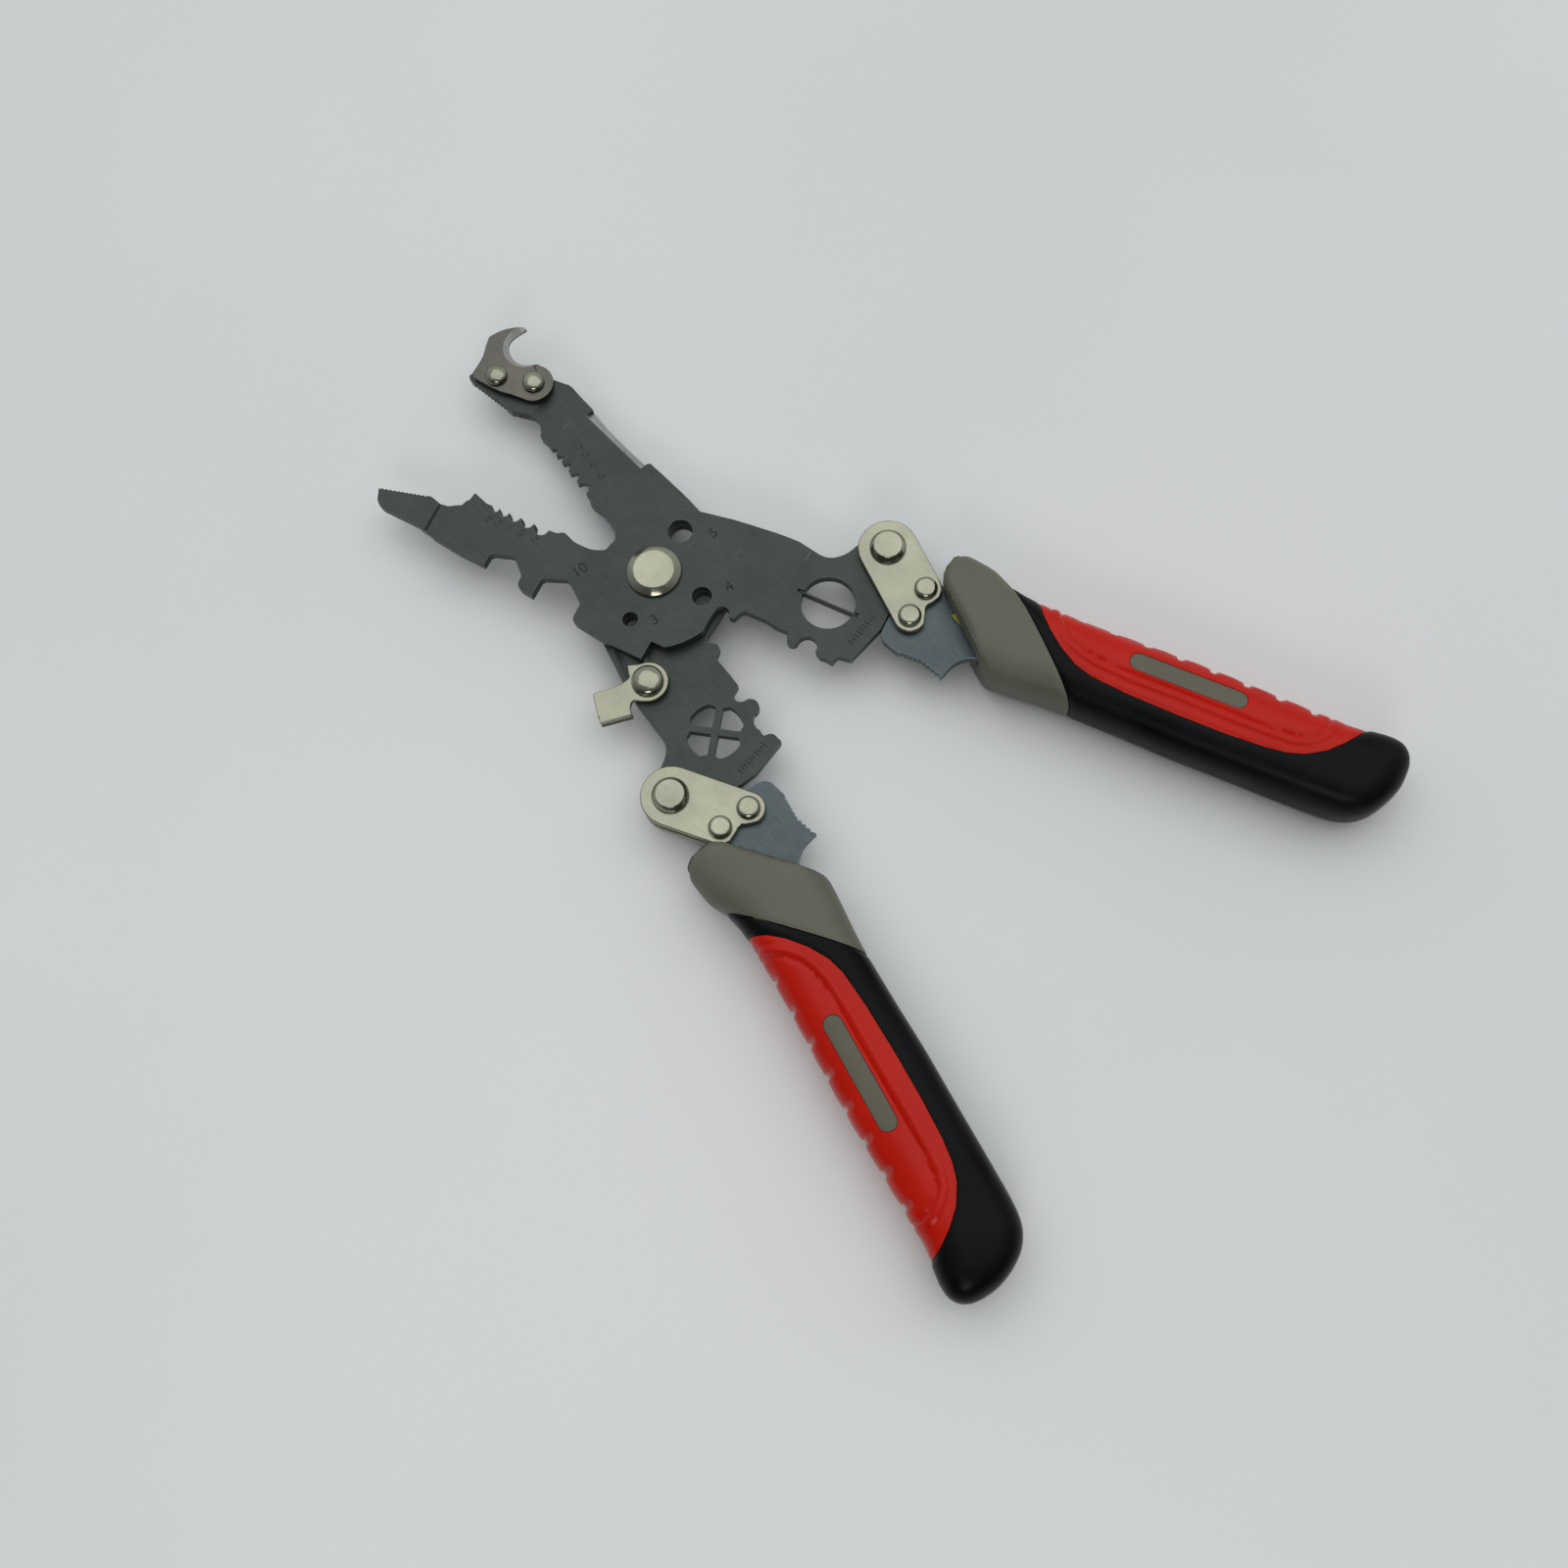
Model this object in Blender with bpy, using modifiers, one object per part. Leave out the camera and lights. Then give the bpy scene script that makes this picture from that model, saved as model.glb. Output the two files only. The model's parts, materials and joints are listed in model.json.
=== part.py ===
"""Folding wire stripper: two scissored jaw halves, each with a handle that folds outwards.

Lengths are in millimetres and become metres through MM. Each half is drawn closed, with the main
pivot at the origin, +X towards its handle and the handle on the +Y side. Half A is then turned by
half of the opening. Half B is turned over about X first, so its drawing shares A's sense.
"""

import math

import bmesh
import bpy
from mathutils import Matrix, Vector

MM = 0.001

# Pose at rest
OPENING = 28.0
HANDLE_B_FOLD = 5.0

# Jaw plates
LAYER_LOW = 0.15
LAYER_HIGH = 2.5
LAYER_MID = (LAYER_LOW + LAYER_HIGH) / 2
SHEET_HALF = 1.175
FOLD_POINT = (42.5, 25.2)
EYE_R = 5.4
TOP_CORNER = (36.0, 23.6)
HEEL = (48.7, 12.0)
NOSE_JOGGLE = (-49.2, -50.8)
TANG_JOGGLE_A = (26.5, 28.3)
TANG_JOGGLE_B = (23.8, 25.4)
CLOSING_GAP = 0.15
NOSE_TEETH = (12, 10)
NOSE_TOOTH = 0.3
CUTTER_POINTS = 40

# Main pivot
PIVOT_HEAD_R = 5.85
PIVOT_FLAT_R = 4.3
PIVOT_TOP = 4.3
PIVOT_SHANK_R = 3.0
RUNNING = 0.3
SPRING_POCKET_R = 5.5
SPRING_POCKET_Z = 1.35
SPRING_COIL_R = 4.45
SPRING_WIRE_R = 0.3
SPRING_TURNS = 1.75

# Bolt shears, as (x, y, radius) in half A
BOLT_SHEARS = ((0.7, 10.65, 2.62), (11.65, -0.7, 2.1), (0.3, -11.6, 1.62))

# Stripping notches, as (x, radius)
STRIP_NOTCHES = ((-38.3, 0.55), (-36.1, 0.7), (-33.5, 0.85), (-30.3, 1.0), (-26.9, 1.3))
STRIP_LINE = -0.95
STRIP_FLARE = 0.4

# Cable splitter in half A and the four-leaf opening in half B
SPLIT_CENTRE = (36.1, 9.4)
SPLIT_R = 5.75
SPLIT_BLADE = (13.6, 0.5, 2.0)
LEAF_CENTRE = (36.2, 10.0)
LEAF_R = 6.0
LEAF_BAR = 1.2

# Hook blade, on the visible face of half B's nose
HOOK_RIVETS = ((-53.4, -4.35), (-59.9, 1.25))
HOOK_LAYER = (-2.75, -1.475)

# Latch
LATCH_POINT = (18.9, 14.9)
LATCH_R = 4.3
LATCH_SHEET = 1.2
LATCH_LIP = 3.0

# Links between half and handle
LINK_LOW = 1.45
LINK_HIGH = 2.95
LINK_R = 6.3
LOBE_R = 3.4
LOBE_FILLET = 1.6
LINK_RIVETS = ((53.6, 20.0), (53.1, 13.1))
SHANK_R = 1.7

# Handle rivets, as (head radius, flat radius, seat height, top height, shank radius)
FOLD_RIVET = (3.8, 2.95, 3.1, 4.7, SHANK_R)
LINK_RIVET = (2.45, 1.5, 3.1, 4.45, SHANK_R - 0.3)

# Grip: stations along the handle, as (x, inner side, outer side, half thickness)
GRIP_STATIONS = (
    (53.0, 8.7, 30.3, 7.2),
    (58.0, 8.7, 30.3, 7.5),
    (64.5, 8.6, 29.6, 7.8),
    (68.0, 8.6, 28.3, 8.0),
    (72.0, 8.6, 27.2, 8.0),
    (78.0, 8.6, 26.7, 8.0),
    (88.0, 8.6, 26.7, 8.0),
    (100.0, 8.5, 27.2, 8.0),
    (112.0, 8.55, 27.7, 8.0),
    (124.0, 8.95, 27.8, 8.0),
    (136.0, 9.3, 27.8, 8.0),
    (143.0, 9.6, 28.1, 8.0),
    (147.0, 10.1, 28.9, 7.9),
    (150.0, 11.3, 29.3, 7.5),
    (152.4, 13.4, 29.1, 6.7),
    (154.2, 16.4, 28.0, 5.3),
    (155.3, 19.4, 26.2, 3.4),
    (155.7, 21.6, 24.2, 1.4),
)
GRIP_SIDES = 28
GRIP_POWER = 2.8
GRIP_GAP = 0.3
GRIP_REACH = 12.0
CORE_FRONT_HALF = 6.2
CORE_REAR_HALF = 3.6
CORE_POCKET_HALF = 4.95
PANEL_INNER_HALF = 5.6
PANEL_INNER_Y = 24.8
PAD_ENDS = ((99.5, 21.4), (120.0, 22.1))
PAD_R = 1.85
PAD_LOW = 6.6
PAD_HIGH = 7.9
RIB_FIRST = 85.4
RIB_PITCH = 7.0
RIB_COUNT = 8
RIB_CUT_R = 0.8
RIB_DEPTH = 0.5

PARTS = "wire_stripper"
CUTTERS = "cutters"


# ---------------------------------------------------------------- scene and materials

def clear_scene():
    for item in list(bpy.data.objects):
        bpy.data.objects.remove(item, do_unlink=True)
    for name in (PARTS, CUTTERS):
        bpy.context.scene.collection.children.link(bpy.data.collections.new(name))


def material(name, colour, roughness, metallic):
    made = bpy.data.materials.new(name)
    made.use_nodes = True
    shader = made.node_tree.nodes["Principled BSDF"]
    shader.inputs["Base Color"].default_value = (*colour, 1.0)
    shader.inputs["Roughness"].default_value = roughness
    shader.inputs["Metallic"].default_value = metallic
    return made


def add_object(name, mesh, collection=PARTS):
    made = bpy.data.objects.new(name, mesh)
    bpy.data.collections[collection].objects.link(made)
    return made


def finish(part, finish_material, parent, smooth=True):
    """Gives a sub-part its material, shading and parent."""
    part.data.materials.clear()
    part.data.materials.append(finish_material)
    if smooth:
        part.data.shade_smooth()
        part.data.set_sharp_from_angle(angle=math.radians(35))
    part.parent = parent
    return part


def empty(name, parent=None, location=(0, 0, 0), rotation=(0, 0, 0)):
    made = add_object(name, None)
    made.parent = parent
    made.location = [value * MM for value in location]
    made.rotation_euler = [math.radians(value) for value in rotation]
    return made


# ---------------------------------------------------------------- outlines

def arc(centre, radius, start, end, steps):
    """Points on an arc from one angle to another, in degrees, both ends included."""
    angles = [math.radians(start + (end - start) * i / steps) for i in range(steps + 1)]
    return [(centre[0] + radius * math.cos(a), centre[1] + radius * math.sin(a)) for a in angles]


def circle(centre, radius, points=CUTTER_POINTS):
    return arc(centre, radius, 0, 360, points)[:-1]


def smooth(points, steps=2):
    """A soft stretch through hand-placed points, as a Catmull-Rom curve."""
    padded = [points[0], *points, points[-1]]
    curve = []
    for i in range(1, len(padded) - 2):
        p0, p1, p2, p3 = (Vector(padded[i + k]) for k in (-1, 0, 1, 2))
        for step in range(steps):
            t = step / steps
            spot = 0.5 * (2 * p1 + (p2 - p0) * t + (2 * p0 - 5 * p1 + 4 * p2 - p3) * t * t
                          + (3 * p1 - p0 - 3 * p2 + p3) * t ** 3)
            curve.append(tuple(spot))
    return [*curve, tuple(points[-1])]


def teeth(start, end, count, depth):
    """A saw-toothed edge from start to end, with the gullets to the right of its direction."""
    first, last = Vector(start), Vector(end)
    along = (last - first) / count
    inward = Vector((along.y, -along.x)).normalized() * depth
    edge = []
    for i in range(count):
        edge.append(tuple(first + along * i))
        edge.append(tuple(first + along * (i + 0.5) + inward))
    return [*edge, tuple(last)]


def turn_points(points, degrees):
    swing = Matrix.Rotation(math.radians(degrees), 2)
    return [tuple(swing @ Vector(point)) for point in points]


def belt(wheels):
    """A loop of outer tangents round circles given counter-clockwise as (x, y, radius)."""
    edges = []
    for i, (x0, y0, r0) in enumerate(wheels):
        x1, y1, r1 = wheels[(i + 1) % len(wheels)]
        gap = math.hypot(x1 - x0, y1 - y0)
        edges.append(math.atan2(y1 - y0, x1 - x0) - math.pi / 2 + math.asin((r0 - r1) / gap))
    loop = []
    for i, (x, y, r) in enumerate(wheels):
        begin, end = edges[i - 1], edges[i]
        while end < begin:
            end += 2 * math.pi
        steps = max(3, round(math.degrees(end - begin) / 14))
        loop += arc((x, y), r, math.degrees(begin), math.degrees(end), steps)
    return loop


# ---------------------------------------------------------------- solids

def tidy_mesh(mesh):
    """Welds a mesh's loose caps and points its faces outwards."""
    work = bmesh.new()
    work.from_mesh(mesh)
    bmesh.ops.remove_doubles(work, verts=work.verts, dist=0.000001)
    bmesh.ops.dissolve_limit(work, angle_limit=math.radians(0.1), verts=[], edges=work.edges)
    bmesh.ops.recalc_face_normals(work, faces=work.faces)
    work.to_mesh(mesh)
    work.free()


def as_mesh(shape, name, collection=PARTS):
    """Replaces a curve, or an object with modifiers, by its evaluated mesh in the same place."""
    bpy.context.view_layer.update()
    mesh = bpy.data.meshes.new_from_object(shape.evaluated_get(bpy.context.evaluated_depsgraph_get()))
    place = shape.matrix_world.copy()
    bpy.data.objects.remove(shape, do_unlink=True)
    tidy_mesh(mesh)
    mesh.transform(place)
    mesh.name = name
    return add_object(name, mesh, collection)


def sheet(name, loops, low, high, collection=PARTS):
    """A flat solid between two heights, from an outer loop and any holes in it."""
    curve = bpy.data.curves.new(name, "CURVE")
    curve.dimensions = "2D"
    curve.fill_mode = "BOTH"
    curve.extrude = (high - low) / 2 * MM
    for loop in loops:
        spline = curve.splines.new("POLY")
        spline.points.add(len(loop) - 1)
        for point, (x, y) in zip(spline.points, loop):
            point.co = (x * MM, y * MM, 0, 1)
        spline.use_cyclic_u = True
    shape = add_object(name + "_outline", curve, collection)
    shape.location.z = (low + high) / 2 * MM
    return as_mesh(shape, name, collection)


def turned(name, profile, steps=20):
    """A solid of revolution about Z from a profile that runs down its outer side."""
    mesh = bpy.data.meshes.new(name)
    points = [(x * MM, 0, z * MM) for x, z in profile]
    mesh.from_pydata(points, [(i, i + 1) for i in range(len(points) - 1)], [])
    shape = add_object(name + "_profile", mesh)
    screw = shape.modifiers.new("turn", "SCREW")
    screw.steps = steps
    screw.render_steps = steps
    screw.use_merge_vertices = True
    screw.merge_threshold = 0.000001
    return as_mesh(shape, name)


def cut(target, tool, operation="DIFFERENCE"):
    """Applies an exact Boolean to the target and removes the tool."""
    tool.hide_render = True
    tool.display_type = "WIRE"
    boolean = target.modifiers.new("cut", "BOOLEAN")
    boolean.operation = operation
    boolean.solver = "EXACT"
    boolean.object = tool
    bpy.context.view_layer.update()
    evaluated = target.evaluated_get(bpy.context.evaluated_depsgraph_get())
    mesh = bpy.data.meshes.new_from_object(evaluated)
    target.modifiers.clear()
    target.data = mesh
    mesh.name = target.name
    bpy.data.objects.remove(tool, do_unlink=True)
    return target


def cutter_sheet(loop, low, high):
    return sheet("cutter", [loop], low, high, CUTTERS)


def cutter_cone(x, y, low, high, radius_low, radius_high):
    work = bmesh.new()
    bmesh.ops.create_cone(
        work, cap_ends=True, segments=24, radius1=radius_low * MM, radius2=radius_high * MM,
        depth=(high - low) * MM,
    )
    mesh = bpy.data.meshes.new("cutter")
    work.to_mesh(mesh)
    work.free()
    mesh.transform(Matrix.Translation(Vector((x, y, (low + high) / 2)) * MM))
    return add_object("cutter", mesh, CUTTERS)


def joggle(part, first, last, shift):
    """Steps the part in Z by shift between two X lines, as sheet metal is pressed."""
    work = bmesh.new()
    work.from_mesh(part.data)
    for line in (first, last):
        bmesh.ops.bisect_plane(
            work, geom=[*work.verts, *work.edges, *work.faces], dist=0.0000001,
            plane_co=(line * MM, 0, 0), plane_no=(1, 0, 0),
        )
    for vertex in work.verts:
        share = (vertex.co.x / MM - first) / (last - first)
        vertex.co.z += shift * MM * min(1.0, max(0.0, share))
    work.to_mesh(part.data)
    work.free()


# ---------------------------------------------------------------- jaw plates

def nose_line(x):
    """Height of the line on which the two nose faces meet when closed, seen from half A."""
    return -3.95 + 0.25 * (x + 54.0)


def eye_arc(start):
    """The eye round the fold rivet, run clockwise from the top edge to the heel."""
    return arc(FOLD_POINT, EYE_R, start, -28, 12)


def outline_a():
    """Half A, clockwise from the tip along its cutting edge, back over its top and home."""
    nose_face = teeth((-64.9, nose_line(-64.9) - CLOSING_GAP), (-54.0, nose_line(-54.0) - CLOSING_GAP),
                      NOSE_TEETH[0], NOSE_TOOTH)
    dip = smooth([(-53.0, -3.95), (-51.3, -4.4), (-49.6, -4.95), (-47.9, -4.8), (-46.6, -4.0), (-45.4, -3.4)])
    cutter = [(-44.9, -2.1), (-44.4, -1.5), (-44.1, 0.35), (-40.6, STRIP_LINE + 0.15)]
    strip = [(-25.2, STRIP_LINE + 0.15)]
    shear = smooth([(-23.1, -0.6), (-22.0, 0.1), (-20.7, -0.2), (-19.0, -0.85), (-17.0, -1.0), (-14.7, -0.9),
                    (-12.9, -0.3), (-11.8, 0.3)])
    cheek = smooth([(-11.5, 2.0), (-9.6, 5.4), (-8.5, 7.6), (-6.9, 10.4), (-4.8, 13.3), (-2.4, 15.0),
                    (0.2, 15.9), (3.0, 16.6)])
    back = smooth([(10.0, 17.8), (19.5, 18.75), (25.0, 18.9), (29.6, 18.55), (31.9, 18.75), (33.6, 19.8),
                   (35.0, 21.4), TOP_CORNER])
    heel = [HEEL, (48.6, 8.6), (45.95, 0.0)]
    die = [(44.6, -0.3), (43.2, -0.5), (42.85, -1.2), (42.7, -2.3), (41.2, -2.15), (39.7, -2.3),
           *arc((36.3, -1.15), 2.15, -10, 190, 10),
           (33.9, -2.0), (33.4, -2.35), (32.6, -2.35), (32.0, -1.9), (31.2, 0.0)]
    step = [(21.6, 0.0), (21.0, -0.3), (20.5, -1.2), (20.1, -2.6), (19.1, -2.6)]
    slot = smooth([(18.9, -2.0), (18.2, -1.25), (17.2, -0.95), (16.2, -1.3), (15.65, -2.4), (15.4, -5.3),
                   (15.4, -7.6)])
    disc = arc((0, 0), 17.2, -27, -55.6, 6)
    catch = [(6.6, -14.2), (6.5, -18.6), (-2.6, -18.3)]
    hooks = [*smooth([(-9.6, -17.35), (-10.6, -16.9), (-11.0, -16.0)]), (-11.0, -13.2), (-11.3, -12.7),
             *smooth([(-15.3, -9.7), (-15.9, -9.4), (-16.6, -9.4)]), (-20.7, -11.0), (-21.2, -11.7),
             (-21.25, -15.7), *smooth([(-23.9, -15.4), (-25.0, -14.9), (-25.4, -14.0)]), (-25.5, -12.5),
             *smooth([(-28.3, -9.9), (-28.9, -9.5), (-29.6, -9.4)]), (-33.4, -10.55), (-34.05, -11.2),
             (-34.1, -13.75)]
    under = [(-40.2, -13.5), (-47.3, -12.65), (-50.4, -11.75), (-52.7, -11.1), (-61.6, -10.75),
             *smooth([(-62.7, -10.4), (-63.6, -9.6), (-64.0, -8.9)])]
    return [*nose_face, *dip, *cutter, *strip, *shear, *cheek, *back, *eye_arc(175), *heel, *die, *step,
            *slot, *disc, *catch, *hooks, *under]


def outline_b():
    """Half B in its own sense, clockwise from the tip along its cutting edge, as half A."""
    nose_face = teeth((-62.9, -nose_line(-62.9) - CLOSING_GAP), (-53.4, -nose_line(-53.4) - CLOSING_GAP),
                      NOSE_TEETH[1], NOSE_TOOTH)
    dip = smooth([(-51.6, 3.3), (-50.3, 2.0), (-49.3, 0.7), (-47.9, -0.2), (-46.0, -0.3), (-44.6, 0.4)])
    strip = [(-43.8, 0.7), (-43.5, 1.2), (-42.6, 1.4), (-41.2, -STRIP_LINE + 0.1), (-25.4, -STRIP_LINE + 0.1)]
    shear = smooth([(-23.8, 1.1), (-22.8, 1.6), (-21.2, 1.4), (-19.7, 0.8), (-17.8, 0.7), (-15.4, 0.8),
                    (-14.0, 1.2), (-12.7, 2.1), (-12.2, 3.5), (-11.9, 5.2)])
    cheek = smooth([(-10.6, 7.8), (-7.4, 10.8), (-3.0, 13.4), (1.5, 15.8), (5.7, 17.5)])
    back = smooth([(15.3, 19.05), (20.5, 19.5), (29.8, 19.55), (32.2, 19.7), (33.8, 20.6), (35.1, 22.1),
                   TOP_CORNER])
    heel = [HEEL, (48.6, 8.6), (46.4, 0.8), (46.05, 0.3)]
    die = [(44.0, 0.65), (43.4, 1.2), (43.0, 2.45), (42.3, 2.6), (41.6, 2.4), (41.0, 2.7), (39.8, 2.62),
           (38.9, 2.3), *arc((36.3, 1.15), 1.85, 10, -190, 10), (34.1, 2.2), (33.5, 2.6), (32.5, 2.65),
           (31.8, 2.1), (31.2, 0.8), (30.9, 0.35)]
    hook = smooth([(22.7, 0.4), (22.1, -0.7), (21.4, -1.45), (20.4, -1.6), (19.6, -1.0), (18.8, -0.1)])
    disc = [*smooth([(17.8, -0.6), (17.0, -2.4), (16.4, -4.2)]), *arc((0, 0), 16.7, -21, -104, 12)]
    spine = [(-6.6, -16.3), (-12.1, -15.8), (-19.2, -14.8), (-22.9, -14.2), (-23.1, -13.6), (-24.0, -13.15),
             (-28.8, -12.4), (-33.5, -11.85), (-36.8, -11.6), (-41.6, -11.6), (-48.4, -10.95),
             *smooth([(-49.4, -10.6), (-50.6, -9.6), (-52.2, -8.6)])]
    nose_back = smooth([(-54.4, -7.9), (-56.6, -6.4), (-59.6, -3.0), (-62.4, 0.8), (-64.4, 4.3), (-64.9, 5.2),
                        (-64.7, 5.9), (-63.9, 6.2)])
    return [*nose_face, *dip, *strip, *shear, *cheek, *back, *eye_arc(175), *heel, *die, *hook, *disc, *spine,
            *nose_back]


def leaf_holes():
    """Four quarter openings parted by a diagonal cross."""
    holes = []
    inner = LEAF_BAR / 2 * math.sqrt(2)
    spread = 45 - math.degrees(math.asin(LEAF_BAR / 2 / LEAF_R))
    for quarter in range(4):
        rim = arc((0, 0), LEAF_R, spread - 14, -spread + 14, 6)
        shoulder = [(LEAF_R * 0.86 * math.cos(math.radians(a)), LEAF_R * 0.86 * math.sin(math.radians(a)))
                    for a in (spread - 2, -spread + 2)]
        tip = [(inner + 0.5, -0.35), (inner + 0.25, 0.0), (inner + 0.5, 0.35)]
        leaf = turn_points([shoulder[0], *rim, shoulder[1], *tip], 90 * quarter)
        holes.append([(x + LEAF_CENTRE[0], y + LEAF_CENTRE[1]) for x, y in leaf])
    return holes


def splitter_slit():
    """The round opening of half A with a slit each side that holds the splitter blade."""
    half = SPLIT_BLADE[1] / 2 + 0.12
    reach = SPLIT_BLADE[0] / 2 + 0.15
    bend = math.degrees(math.asin(half / SPLIT_R))
    left = [(-reach, -half), (-reach, half)]
    right = [(reach, half), (reach, -half)]
    upper = arc((0, 0), SPLIT_R, 180 - bend, bend, 20)
    lower = arc((0, 0), SPLIT_R, -bend, bend - 180, 20)
    loop = [*upper, *right, *lower, *left]
    return [(x + SPLIT_CENTRE[0], y + SPLIT_CENTRE[1]) for x, y in loop]


def shear_holes(turn, flip):
    """The bolt shears, lined up in both halves at rest, in the sense of either half."""
    holes = []
    for x, y, radius in BOLT_SHEARS:
        spot = turn_points([(x, y)], turn)[0]
        holes.append(circle((spot[0], spot[1] * flip), radius, 26))
    return holes


def cut_strip_notches(plate, height):
    for x, radius in STRIP_NOTCHES:
        flare = radius + STRIP_FLARE
        slope = STRIP_FLARE / (LAYER_HIGH - LAYER_LOW)
        cut(plate, cutter_cone(x, height, LAYER_LOW - 0.5, LAYER_HIGH + 0.5, radius - slope * 0.5,
                               flare + slope * 0.5))


def spring_pocket(plate):
    cut(plate, cutter_cone(0, 0, LAYER_LOW - 0.5, SPRING_POCKET_Z, SPRING_POCKET_R, SPRING_POCKET_R))


def jaw_plate_a(parent, steel):
    holes = [circle((0, 0), PIVOT_SHANK_R + RUNNING, 24), circle(FOLD_POINT, SHANK_R + RUNNING, 16),
             splitter_slit(), *shear_holes(0, 1)]
    plate = sheet("jaw_plate_a", [outline_a(), *holes], LAYER_LOW, LAYER_HIGH)
    cut_strip_notches(plate, STRIP_LINE)
    spring_pocket(plate)
    joggle(plate, *NOSE_JOGGLE, -LAYER_MID)
    joggle(plate, *TANG_JOGGLE_A, -LAYER_MID)
    return finish(plate, steel, parent)


def grind_spine(plate):
    """A slanting ground flat along the spine of half B, shallower towards the nose."""
    work = bmesh.new()
    bmesh.ops.create_cube(work, size=1.0)
    mesh = bpy.data.meshes.new("cutter")
    work.to_mesh(mesh)
    work.free()
    mesh.transform(Matrix.Diagonal((18.3 * MM, 6 * MM, 4 * MM, 1)))
    wedge = add_object("cutter", mesh, CUTTERS)
    wedge.rotation_euler = (math.radians(-50), 0, math.radians(-7.2))
    wedge.location = Vector((-32.4, -13.0, -0.75)) * MM
    cut(plate, wedge)


def jaw_plate_b(parent, steel):
    holes = [circle((0, 0), PIVOT_SHANK_R + RUNNING, 24), circle(FOLD_POINT, SHANK_R + RUNNING, 16),
             circle(LATCH_POINT, SHANK_R + RUNNING, 16), *leaf_holes(), *shear_holes(OPENING, -1)]
    plate = sheet("jaw_plate_b", [outline_b(), *holes, *hook_rivet_holes()], LAYER_LOW, LAYER_HIGH)
    cut_strip_notches(plate, -STRIP_LINE)
    spring_pocket(plate)
    grind_spine(plate)
    joggle(plate, *NOSE_JOGGLE, -LAYER_MID)
    joggle(plate, *TANG_JOGGLE_B, -LAYER_MID)
    return finish(plate, steel, parent)


# ---------------------------------------------------------------- rivets

def rivet(name, place, parent, finish_material, head_r, flat_r, seat, top, shank_r, steps=20):
    """A rivet with the same raised head at both ends, its seats at plus and minus seat."""
    bevel = [(head_r, seat + 0.3), (head_r, seat), (shank_r, seat)]
    upper = [(0, top), (flat_r, top), ((flat_r + head_r) / 2, (top * 2 + seat) / 3), *bevel]
    lower = [(x, -z) for x, z in reversed(upper)]
    part = turned(name, [*upper, *lower], steps)
    part.location = Vector((*place, 0)) * MM
    return finish(part, finish_material, parent)


def dome_rivet(name, place, parent, finish_material, head_r, seat, tail, height, shank_r):
    """A rivet with a dome above seat and a low head below tail, both along +Z."""
    dome = [(head_r * math.sin(a), seat + 0.3 + (height - 0.3) * math.cos(a))
            for a in (math.radians(18 * i) for i in range(6))]
    foot = [(shank_r, tail), (head_r * 0.85, tail), (head_r * 0.85, tail - 0.4), (head_r * 0.6, tail - 0.8),
            (0, tail - 0.8)]
    part = turned(name, [*dome, (head_r, seat), (shank_r, seat), *foot])
    part.rotation_euler.x = math.pi
    part.location = Vector((*place, 0)) * MM
    return finish(part, finish_material, parent)


def pivot_spring(parent, spring_steel):
    """A flat coil of wire round the main pivot, hidden in both halves' pockets."""
    count = round(SPRING_TURNS * 16)
    height = 2 * SPRING_POCKET_Z - 2 * SPRING_WIRE_R - 0.6
    curve = bpy.data.curves.new("pivot_spring", "CURVE")
    curve.dimensions = "3D"
    curve.bevel_depth = SPRING_WIRE_R * MM
    curve.bevel_resolution = 2
    curve.use_fill_caps = True
    spline = curve.splines.new("POLY")
    spline.points.add(count)
    for i, point in enumerate(spline.points):
        angle = 2 * math.pi * i / 16
        z = height * (i / count - 0.5)
        point.co = (SPRING_COIL_R * math.cos(angle) * MM, SPRING_COIL_R * math.sin(angle) * MM, z * MM, 1)
    coil = as_mesh(add_object("pivot_spring_wire", curve), "pivot_spring")
    return finish(coil, spring_steel, parent)


# ---------------------------------------------------------------- parts on the halves

def splitter_blade(parent, steel):
    """A strip across the round opening, sharpened along its upper edge."""
    length, width, height = SPLIT_BLADE
    work = bmesh.new()
    bmesh.ops.create_cube(work, size=1.0)
    for vertex in work.verts:
        vertex.co = (vertex.co.x * length * MM, vertex.co.y * width * MM, vertex.co.z * height * MM)
    mesh = bpy.data.meshes.new("splitter_blade")
    work.to_mesh(mesh)
    work.free()
    part = add_object("splitter_blade", mesh)
    edge = part.modifiers.new("edge", "BEVEL")
    edge.width = 0.1 * MM
    edge.segments = 1
    part.location = Vector((*SPLIT_CENTRE, 0)) * MM
    return finish(part, steel, parent, smooth=False)


def hook_rivet_holes():
    return [circle(spot, SHANK_R + RUNNING, 16) for spot in HOOK_RIVETS]


def hook_blade(parent, stainless):
    """The riveted hook for slitting cable jackets, on the visible face of half B's nose."""
    outer = smooth([(-69.2, -2.7), (-69.15, -4.3), (-68.6, -6.8), (-67.3, -9.2), (-66.2, -10.5)])
    inner = smooth([(-65.85, -10.5), (-65.9, -8.8), (-65.85, -6.8), (-65.1, -5.2), (-63.4, -4.3),
                    (-61.0, -4.15), (-59.2, -5.0), (-57.9, -6.3), (-56.4, -7.8)])
    eye = arc(HOOK_RIVETS[0], 4.4, -140, 50, 12)
    under = [(-54.1, 1.1), (-56.0, 2.5), (-58.4, 3.7), (-62.9, 5.4)]
    front = smooth([(-63.9, 5.2), (-64.7, 3.4), (-66.0, 1.0), (-67.9, -1.1)])
    blade = sheet("hook_blade", [[*outer, *inner, *eye, *under, *front], *hook_rivet_holes()], *HOOK_LAYER)
    return finish(blade, stainless, parent)


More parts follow.
